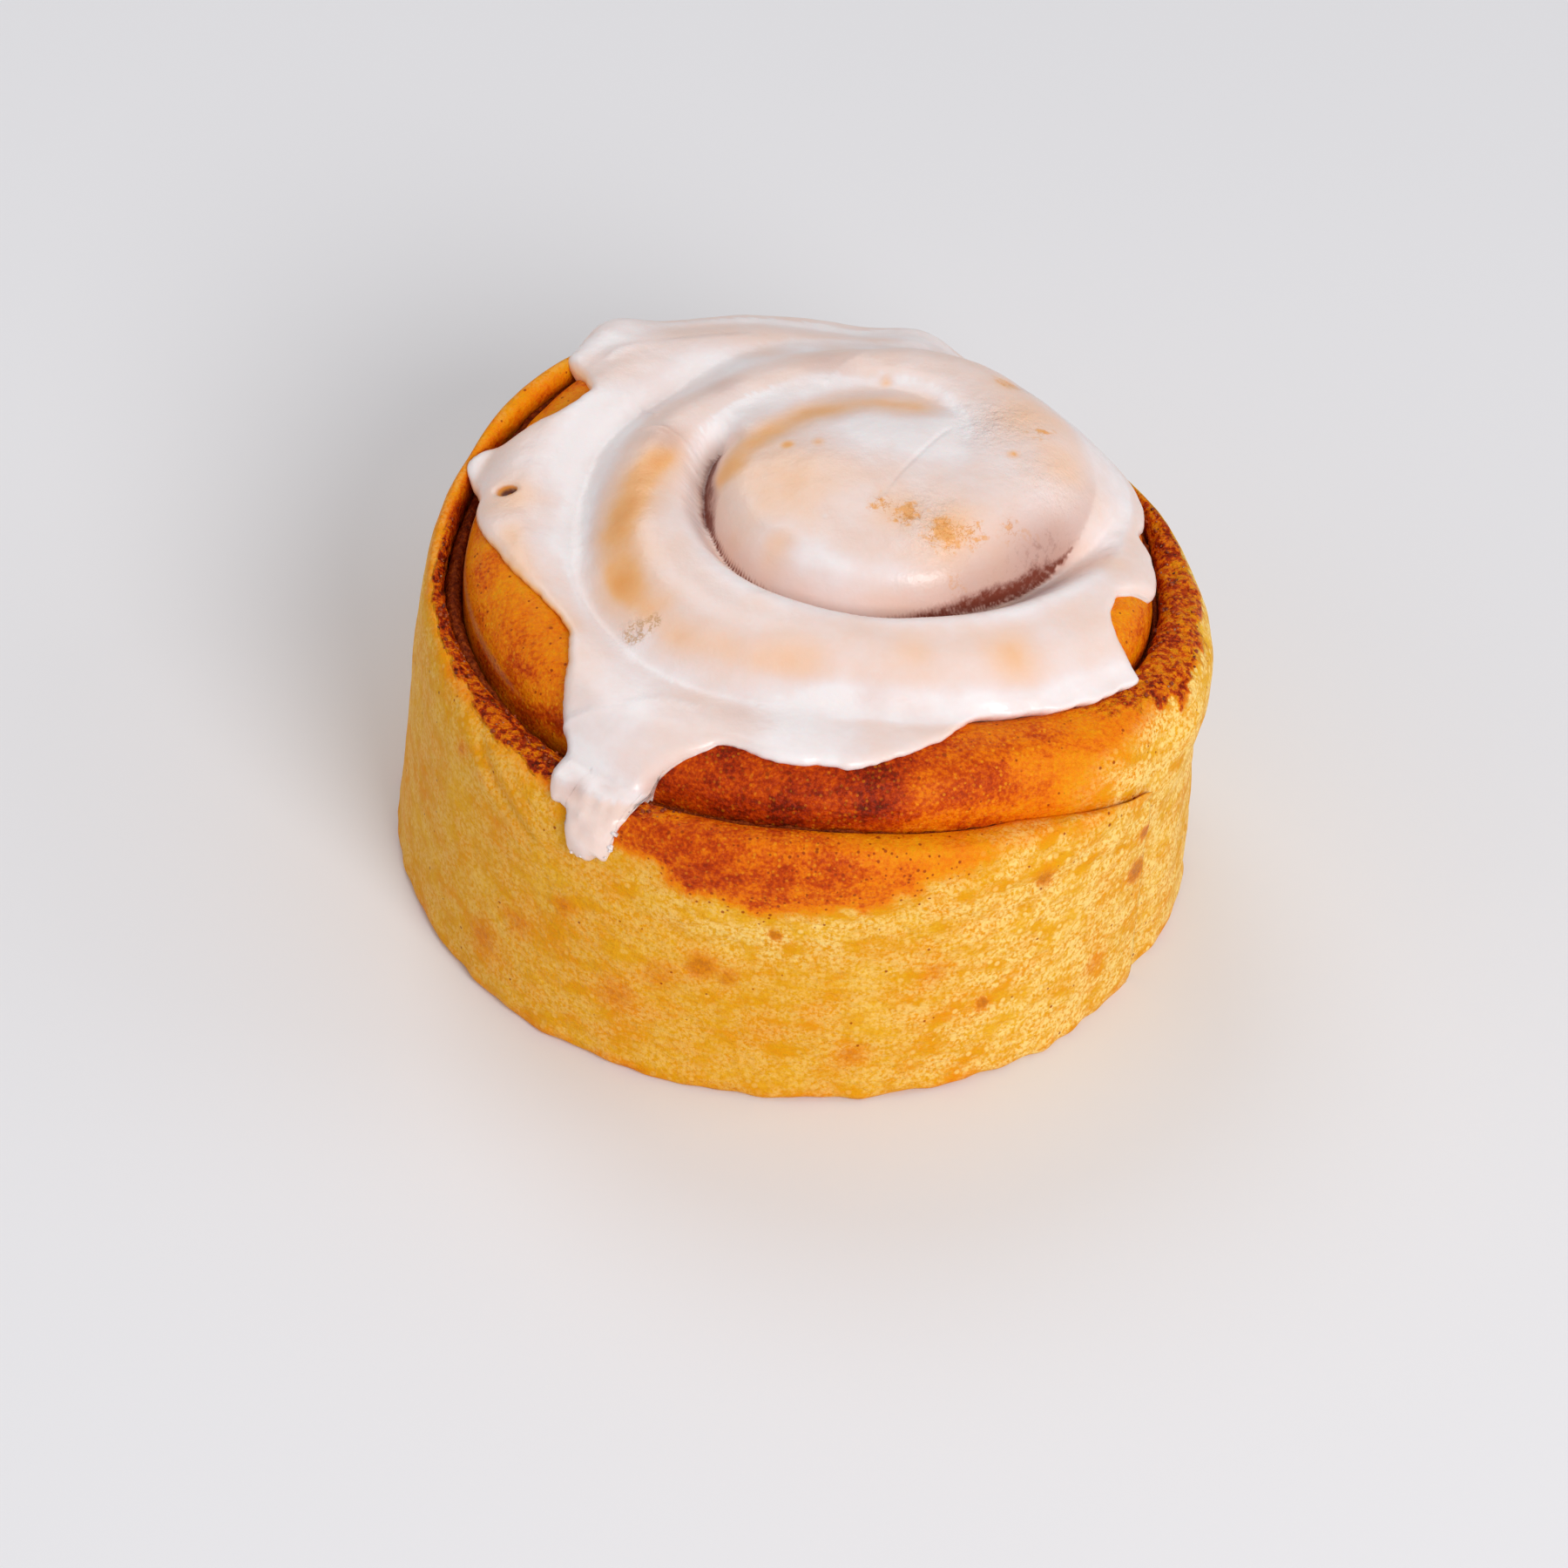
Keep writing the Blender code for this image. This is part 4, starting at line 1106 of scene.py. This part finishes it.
def roll_place(tree, stretch=(1.0, 1.0, 1.0), seed=0.0):
    """The place on the roll, drawn out and moved to another part of the noise."""
    place = add_node(tree, "ShaderNodeTexCoord").outputs["Object"]
    links = [("Vector", place), ("Scale", stretch), ("Location", (seed,) * 3)]
    return add_node(tree, "ShaderNodeMapping", links).outputs[0]


def fine_noise(tree, size, detail=3.0, stretch=(1.0, 1.0, 1.0), seed=0.0):
    """Cloudy noise with lumps of a size in millimetres, from 0 to 1. A stretch below 1 draws it out."""
    links = [("Vector", roll_place(tree, stretch, seed)), ("Scale", 1 / (size * MM))]
    links += [("Detail", detail), ("Roughness", 0.6)]
    return add_node(tree, "ShaderNodeTexNoise", links).outputs["Fac"]


def clouds(tree, size, low, high, detail=3.0, stretch=(1.0, 1.0, 1.0), seed=0.0):
    """The same noise moved to a range. Its flat ends make clear patches of both extremes."""
    return fitted(tree, fine_noise(tree, size, detail, stretch, seed), 0.3, 0.7, low, high)


def specks(tree, spacing, size, seed=0.0):
    """1 in small round specks, with their spacing and size in millimetres, and a random number per speck."""
    links = [("Vector", roll_place(tree, seed=seed)), ("Scale", 1 / (spacing * MM))]
    cells = add_node(tree, "ShaderNodeTexVoronoi", links)
    inside = fitted(tree, cells.outputs["Distance"], size / spacing * 0.5, size / spacing, 1.0, 0.0)
    chance_of = add_node(tree, "ShaderNodeSeparateColor", [(0, cells.outputs["Color"])]).outputs[0]
    return inside, chance_of


def thin_lines(tree, size, width, seed=0.0):
    """1 along thin winding lines, where a noise crosses its middle value."""
    off_middle = sum_of(tree, fine_noise(tree, size, 3.0, seed=seed), 0.5, "SUBTRACT")
    return fitted(tree, sum_of(tree, off_middle, 0.0, "ABSOLUTE"), 0.0, width, 1.0, 0.0)


print("sizes of noise and specks are given in units of", MM, "m")

# %% Colours, bumps and plain values
def ramp_of(tree, value, stops):
    """Colours along a number: pairs of place and colour."""
    made = add_node(tree, "ShaderNodeValToRGB", [(0, value)])
    made.color_ramp.interpolation = "LINEAR"
    while len(made.color_ramp.elements) < len(stops):
        made.color_ramp.elements.new(0.5)
    for element, (place, colour) in zip(made.color_ramp.elements, stops):
        element.position = place
        element.color = (*colour, 1.0)
    return made.outputs[0]


def blended(tree, share, first, second):
    """One colour turning into another as the share goes from 0 to 1."""
    made = add_node(tree, "ShaderNodeMix", data_type="RGBA")
    for socket, source in ((0, share), (6, first), (7, second)):
        if isinstance(source, bpy.types.NodeSocket):
            tree.links.new(source, made.inputs[socket])
        else:
            made.inputs[socket].default_value = (*source, 1.0) if socket else source
    return made.outputs[2]


def bumped(tree, height, depth, under=None):
    """Small bumps of a depth in millimetres, on top of other bumps."""
    links = [("Height", height), ("Distance", depth * MM), ("Strength", 1.0)]
    if under is not None:
        links.append(("Normal", under))
    return add_node(tree, "ShaderNodeBump", links).outputs[0]


INPUTS = {
    "colour": "Base Color", "roughness": "Roughness", "specular": "Specular IOR Level",
    "clear": "Transmission Weight", "softness": "Subsurface Weight",
    "soft_reach": "Subsurface Radius", "soft_scale": "Subsurface Scale",
}


def set_constants(shader, **constants):
    """Plain values on the main shader, by short names of its inputs."""
    for title, value in constants.items():
        shader.inputs[INPUTS[title]].default_value = (*value, 1.0) if title == "colour" else value


print("the main shader's inputs that are set:", ", ".join(INPUTS.values()))

# %% [markdown]
# ### Baked dough
#
# Browned dough runs from pale gold through orange and rust to nearly black. One ramp holds these colours,
# and the stored browning plus a few sizes of noise picks from it. The wall's smudges have a dull brown of
# their own. Pale flour lies on the wall, more of it on the right side, where it is partly painted light,
# and dark cinnamon specks on the crests. Pale pebbles on the browned crust are partly painted glints.
# The browner the crust, the shinier it is. A separate material for each colour would be simpler, but
# real browning has no borders.

# %% The dough's finish
CRUST_COLOURS = (
    (0.0, (0.88, 0.46, 0.02)), (0.14, (0.80, 0.345, 0.003)), (0.34, (0.86, 0.27, 0.001)),
    (0.52, (0.82, 0.18, 0.001)), (0.68, (0.60, 0.070, 0.001)), (0.80, (0.42, 0.032, 0.001)),
    (0.90, (0.25, 0.014, 0.001)), (1.0, (0.11, 0.008, 0.001)),
)
SMUDGE_COLOUR = (0.56, 0.185, 0.006)
FLOUR_AND_PAINTED_LIGHT_COLOUR = (0.98, 0.66, 0.2)
PEBBLE_AND_GLINT_COLOUR = (0.95, 0.40, 0.01)
SPECK_COLOUR = (0.33, 0.04, 0.002)
DRY_COLOUR = (0.62, 0.27, 0.13)
# Dark specks of three sizes: their spacing and size, how many of them are wanted, and the noise's seed.
CINNAMON_SPECKS = ((2.3, 0.4, 0.35, 2.0), (0.8, 0.28, 0.32, 4.0), (0.55, 0.22, 0.25, 6.0))


def crust_colour(tree, brown, freckled):
    """The ramp's colour for each place, with the dull brown smudges of the wall on top."""
    cloudy = clouds(tree, 5.0, -0.13, 0.15, 5.0, (0.8, 0.8, 1.4))
    cloudy = times(tree, cloudy, fitted(tree, brown, 0.2, 0.5, 0.55, 1.0))
    gritty = fitted(tree, fine_noise(tree, 1.0, 5.0, seed=5.0), 0.4, 0.6, -0.24, 0.14)
    gritty = times(tree, gritty, stored(tree, "crusted"))
    total = sum_of(tree, sum_of(tree, brown, cloudy), sum_of(tree, freckled, gritty))
    smudge = fitted(tree, sum_of(tree, stored(tree, "smudged"), freckled), 0.04, 0.4, 0.0, 0.85)
    return blended(tree, smudge, ramp_of(tree, total, CRUST_COLOURS), SMUDGE_COLOUR)


def flour_and_painted_light_on(tree, brown):
    """Patches, grains and larger specks of flour, which also carry the painted light of the right side and
    the east rim. They lie on the pale dough only.
    """
    patches = fitted(tree, fine_noise(tree, 3.4, 5.0, (0.8, 0.8, 1.2), seed=1.0), 0.36, 0.58)
    grains_of_flour = fitted(tree, fine_noise(tree, 0.5, 3.0, seed=2.0), 0.36, 0.62)
    dusted, lot = specks(tree, 1.15, 0.5)
    dusted = times(tree, dusted, fitted(tree, lot, 0.25, 0.8, 0.0, 0.8))
    flour = sum_of(tree, times(tree, patches, grains_of_flour), dusted, "MAXIMUM")
    return times(tree, flour, fitted(tree, brown, 0.18, 0.42, 1.0, 0.0), stored(tree, "flour_and_painted_light"))


def pebbles_and_painted_glints_on(tree, brown):
    """Small paler pebbles on the browned crust, partly painted glints, fewer where it is darkest."""
    pebbles, lot = specks(tree, 0.6, 0.26, seed=1.0)
    share = fitted(tree, brown, 0.35, 0.6, 0.0, 0.6)
    return times(tree, pebbles, fitted(tree, lot, 0.3, 1.0), share, fitted(tree, brown, 0.6, 0.75, 0.85, 0.4))


def dough_finish():
    finish, tree, shader = new_finish("golden_crust")
    brown = stored(tree, "browning")
    freckled = clouds(tree, 0.55, -0.11, 0.1, 4.0, seed=3.0)
    freckled = times(tree, freckled, fitted(tree, brown, 0.2, 0.5, 0.4, 1.0))
    colour = crust_colour(tree, brown, freckled)
    # Flour and painted light: paler on the right side, with a painted highlight on the east rim.
    colour = blended(tree, flour_and_painted_light_on(tree, brown), colour, FLOUR_AND_PAINTED_LIGHT_COLOUR)
    # Pale pebbles, partly painted glints on the browned crust.
    colour = blended(tree, pebbles_and_painted_glints_on(tree, brown), colour, PEBBLE_AND_GLINT_COLOUR)
    for spacing, size, wanted, seed in CINNAMON_SPECKS:
        dots, lot = specks(tree, spacing, size, seed=seed)
        kept = sum_of(tree, lot, times(tree, stored(tree, "speckled"), wanted), "LESS_THAN")
        colour = blended(tree, times(tree, dots, kept, 0.85), colour, SPECK_COLOUR)
    dry = fitted(tree, sum_of(tree, stored(tree, "dry_lip"), freckled), 0.4, 0.95, 0.0, 0.4)
    tree.links.new(blended(tree, dry, colour, DRY_COLOUR), shader.inputs["Base Color"])

    shine = sum_of(tree, fitted(tree, brown, 0.15, 0.6, 0.55, 0.34), clouds(tree, 1.5, -0.06, 0.08))
    tree.links.new(shine, shader.inputs["Roughness"])
    set_constants(shader, specular=0.09, softness=0.1, soft_reach=(1.0, 0.3, 0.05), soft_scale=0.002)
    skin = bumped(tree, fine_noise(tree, 1.3, 5.0, (0.8, 0.8, 1.2), seed=7.0), 0.45)
    pores = bumped(tree, fine_noise(tree, 0.35, 2.0, seed=8.0), 0.13, skin)
    grit = times(tree, fine_noise(tree, 0.7, 3.0, seed=9.0), stored(tree, "crusted"))
    tree.links.new(bumped(tree, grit, 0.9, pores), shader.inputs["Normal"])
    return finish


dough.data.materials.append(dough_finish())
print("finish on the dough:", dough.data.materials[0].name)

# %% [markdown]
# ### Filling, crumbs and crystals
#
# Cinnamon and melted sugar make the filling nearly black in its depth, and rust red on grains that catch
# the light. It is only a little shiny, because a strong shine would draw a grey line along each crease.
# The crumbs are the same stuff, dry and glossier, and the crystals are half clear sugar that takes the
# crust's colour.

# %% The finishes of filling and grains
FILLING_COLOURS = ((0.3, (0.10, 0.011, 0.002)), (0.5, (0.24, 0.03, 0.003)), (0.72, (0.46, 0.09, 0.01)))
CRUMB_COLOURS = ((0.35, (0.10, 0.012, 0.003)), (0.55, (0.33, 0.045, 0.004)), (0.75, (0.55, 0.13, 0.02)))


def filling_finish():
    finish, tree, shader = new_finish("wet_cinnamon")
    grain = fine_noise(tree, 0.6, 4.0)
    tree.links.new(ramp_of(tree, grain, FILLING_COLOURS), shader.inputs["Base Color"])
    set_constants(shader, roughness=0.4, specular=0.08)
    tree.links.new(bumped(tree, grain, 0.5), shader.inputs["Normal"])
    return finish


def crumb_finish():
    finish, tree, shader = new_finish("cinnamon_crumb")
    grain = fine_noise(tree, 0.9, 3.0, seed=4.0)
    tree.links.new(ramp_of(tree, grain, CRUMB_COLOURS), shader.inputs["Base Color"])
    set_constants(shader, roughness=0.38, specular=0.3)
    return finish


def crystal_finish():
    finish, tree, shader = new_finish("clear_sugar")
    set_constants(shader, colour=(0.55, 0.22, 0.11), roughness=0.12, clear=0.4)
    return finish


filling.data.materials.append(filling_finish())
crumbs.data.materials.append(crumb_finish())
crystals.data.materials.append(crystal_finish())
print("finishes on filling, crumbs and crystals")

# %% [markdown]
# ### Sugar icing
#
# Icing is a thin milky film. The ramp runs from the tan of dough seen through a thin film, over pink, to
# the near white of a deep pool. A film that is really see-through would tint itself, but it renders
# slowly and grainy, so the stored cover picks the tint instead. A little light is let in under the
# surface, which softens its shading as real sugar does.

# %% The icing's finish
ICING_COLOURS = (
    (0.0, (0.88, 0.37, 0.09)), (0.22, (0.92, 0.48, 0.20)), (0.45, (0.91, 0.60, 0.43)),
    (0.68, (0.88, 0.66, 0.57)), (0.88, (0.885, 0.75, 0.72)), (1.0, (0.92, 0.84, 0.83)),
)
RUBBED_COLOUR = (0.88, 0.41, 0.12)
CRACKLE_COLOUR = (0.72, 0.26, 0.03)
SCUFF_COLOUR = (0.60, 0.33, 0.14)
PAINTED_PINK_SHADE = (0.56, 0.33, 0.27)
SEAM_BROWN_AND_PAINTED_SHADOW = (0.19, 0.034, 0.015)
HOLE_RIM = (0.70, 0.25, 0.03)
HOLE_FLOOR = (0.16, 0.03, 0.008)


def thin_film_marks(tree, colour):
    """The rubbed tan patches with their crackles, and the scuff's torn lines."""
    rubbed = stored(tree, "rubbed")
    flaked = sum_of(tree, rubbed, clouds(tree, 1.4, -0.6, 0.3, 5.0, seed=13.0))
    colour = blended(tree, fitted(tree, flaked, 0.31, 0.75, 0.0, 0.9), colour, RUBBED_COLOUR)
    crackled = times(tree, thin_lines(tree, 1.1, 0.035), fitted(tree, rubbed, 0.2, 0.7), 0.75)
    colour = blended(tree, crackled, colour, CRACKLE_COLOUR)
    scuffed = fitted(tree, stored(tree, "scuffed"), 0.25, 0.55)
    torn = times(tree, thin_lines(tree, 0.9, 0.09, seed=3.0), scuffed, 0.75)
    return blended(tree, torn, colour, SCUFF_COLOUR)


def icing_finish():
    finish, tree, shader = new_finish("poured_sugar_icing")
    cloudy = fitted(tree, fine_noise(tree, 5.0, 3.0), 0.25, 0.75, -0.06, 0.06)
    colour = ramp_of(tree, sum_of(tree, stored(tree, "cover"), cloudy), ICING_COLOURS)
    colour = thin_film_marks(tree, colour)
    # Painted shade: first the pink painted shade, then the seam's brown, which is partly the dough's own
    # colour and partly painted shadow.
    painted_shade_and_seam_brown = stored(tree, "painted_shade_and_seam_brown")
    ragged = sum_of(tree, painted_shade_and_seam_brown, clouds(tree, 1.0, -0.16, 0.16, 4.0, seed=14.0))
    colour = blended(tree, fitted(tree, painted_shade_and_seam_brown, 0.0, 0.6), colour, PAINTED_PINK_SHADE)
    colour = blended(tree, fitted(tree, ragged, 0.45, 1.0), colour, SEAM_BROWN_AND_PAINTED_SHADOW)
    colour = blended(tree, fitted(tree, stored(tree, "stained"), 0.1, 0.5), colour, HOLE_RIM)
    colour = blended(tree, fitted(tree, stored(tree, "stained"), 0.5, 0.9), colour, HOLE_FLOOR)
    tree.links.new(colour, shader.inputs["Base Color"])
    set_constants(shader, roughness=0.3, specular=0.5)
    set_constants(shader, softness=0.25, soft_reach=(1.0, 0.55, 0.45), soft_scale=0.0015)
    soft = bumped(tree, fine_noise(tree, 2.2, 3.0, seed=6.0), 0.12)
    scuffed = times(tree, fine_noise(tree, 0.9, 4.0, seed=7.0), stored(tree, "rough"))
    tree.links.new(bumped(tree, scuffed, 0.6, soft), shader.inputs["Normal"])
    return finish


def flake_finish():
    finish, tree, shader = new_finish("dry_sugar_flake")
    set_constants(shader, colour=(0.88, 0.80, 0.79), roughness=0.3)
    tree.links.new(bumped(tree, fine_noise(tree, 0.5), 0.2), shader.inputs["Normal"])
    return finish


icing.data.materials.append(icing_finish())
flakes.data.materials.append(flake_finish())
print("finish on the icing:", icing.data.materials[0].name)

# %% [markdown]
# ## The ground, the light and the camera
#
# The picture was taken on a white ground under very soft light, from the front and high up, with a long
# lens. A plain pale floor stands for the ground. One wide lamp from the front right shapes the roll. A
# weaker one from behind puts the sheen on the icing, and two more, from the right and faintly from the
# left, keep the sides from going dull. An even white surrounding fills the rest. The camera's place was
# worked out from the roll's outline, so it is given in the winding's own millimetres.

# %% The floor and the light
FLOOR_SIZE = 3.0
FLOOR_COLOUR = (0.83, 0.82, 0.84)
# Each lamp: where it stands, as a direction from the roll, its size in metres and its power in watts.
LAMPS = {
    "main_lamp": ((0.45, -0.78, 0.62), 0.6, 8.2),
    "sheen_lamp": ((-0.35, 0.7, 0.85), 0.6, 2.1),
    "side_lamp": ((0.95, 0.1, 0.5), 0.6, 1.5),
    "left_lamp": ((-0.95, -0.3, 0.45), 0.8, 1.0),
}
LAMP_DISTANCE = 1.2
LIT_POINT = Vector((0, 0, 0.025))
SURROUNDING_COLOUR = (0.97, 0.98, 1.0, 1.0)
SURROUNDING_STRENGTH = 0.455


def pale_floor():
    bpy.ops.mesh.primitive_plane_add(size=FLOOR_SIZE, location=(0, 0, 0))
    floor = bpy.context.object
    floor.name = "pale_floor"
    finish, tree, shader = new_finish("pale_ground")
    set_constants(shader, colour=FLOOR_COLOUR, roughness=0.5)
    floor.data.materials.append(finish)


def soft_lamp(name, toward, size, power):
    """A wide lamp that looks at the roll from a direction."""
    lamp = bpy.data.lights.new(name, "AREA")
    lamp.shape = "DISK"
    lamp.size = size
    lamp.energy = power
    holder = bpy.data.objects.new(name, lamp)
    direction = Vector(toward).normalized()
    holder.location = direction * LAMP_DISTANCE + LIT_POINT
    holder.rotation_euler = (-direction).to_track_quat("-Z", "Y").to_euler()
    bpy.context.scene.collection.objects.link(holder)


def white_surrounding():
    world = bpy.data.worlds.new("white_surrounding")
    world.use_nodes = True
    world.node_tree.nodes["Background"].inputs[0].default_value = SURROUNDING_COLOUR
    world.node_tree.nodes["Background"].inputs[1].default_value = SURROUNDING_STRENGTH
    bpy.context.scene.world = world


pale_floor()
for name, (toward, size, power) in LAMPS.items():
    soft_lamp(name, toward, size, power)
white_surrounding()
print("lamps:", [lamp.name for lamp in bpy.data.lights])

# %% The camera
CAMERA_DROP = math.radians(43.5)
CAMERA_ROLL = math.radians(5.3)
CAMERA_DISTANCE = 720.0
PICTURE_WIDTH = 1800
FOCUS_IN_PIXELS = 6480.0
AIM_IN_PIXELS = (18.0, 50.0)
SENSOR_WIDTH = 36.0

onward = Vector((0, math.cos(CAMERA_DROP), -math.sin(CAMERA_DROP)))
sideways = Vector((1, 0, 0))
upward = Vector((0, math.sin(CAMERA_DROP), math.cos(CAMERA_DROP)))
per_pixel = CAMERA_DISTANCE / FOCUS_IN_PIXELS
camera_place = -CAMERA_DISTANCE * onward - AIM_IN_PIXELS[0] * per_pixel * sideways
camera_place += AIM_IN_PIXELS[1] * per_pixel * upward
picture_right = sideways * math.cos(CAMERA_ROLL) + upward * math.sin(CAMERA_ROLL)
picture_up = upward * math.cos(CAMERA_ROLL) - sideways * math.sin(CAMERA_ROLL)

lens = bpy.data.cameras.new("camera")
lens.sensor_width = SENSOR_WIDTH
lens.lens = FOCUS_IN_PIXELS / PICTURE_WIDTH * SENSOR_WIDTH
lens.clip_start = 0.01
camera = bpy.data.objects.new("camera", lens)
facing = Matrix((picture_right, picture_up, picture_right.cross(picture_up))).transposed().to_4x4()
facing.translation = (camera_place + Vector(TO_FRAME)) * MM
camera.matrix_world = facing
bpy.context.scene.collection.objects.link(camera)
bpy.context.scene.camera = camera
bpy.context.scene.view_settings.view_transform = "Standard"
print("camera at", [round(part / MM) for part in camera.location], "mm, lens", round(lens.lens, 1), "mm")
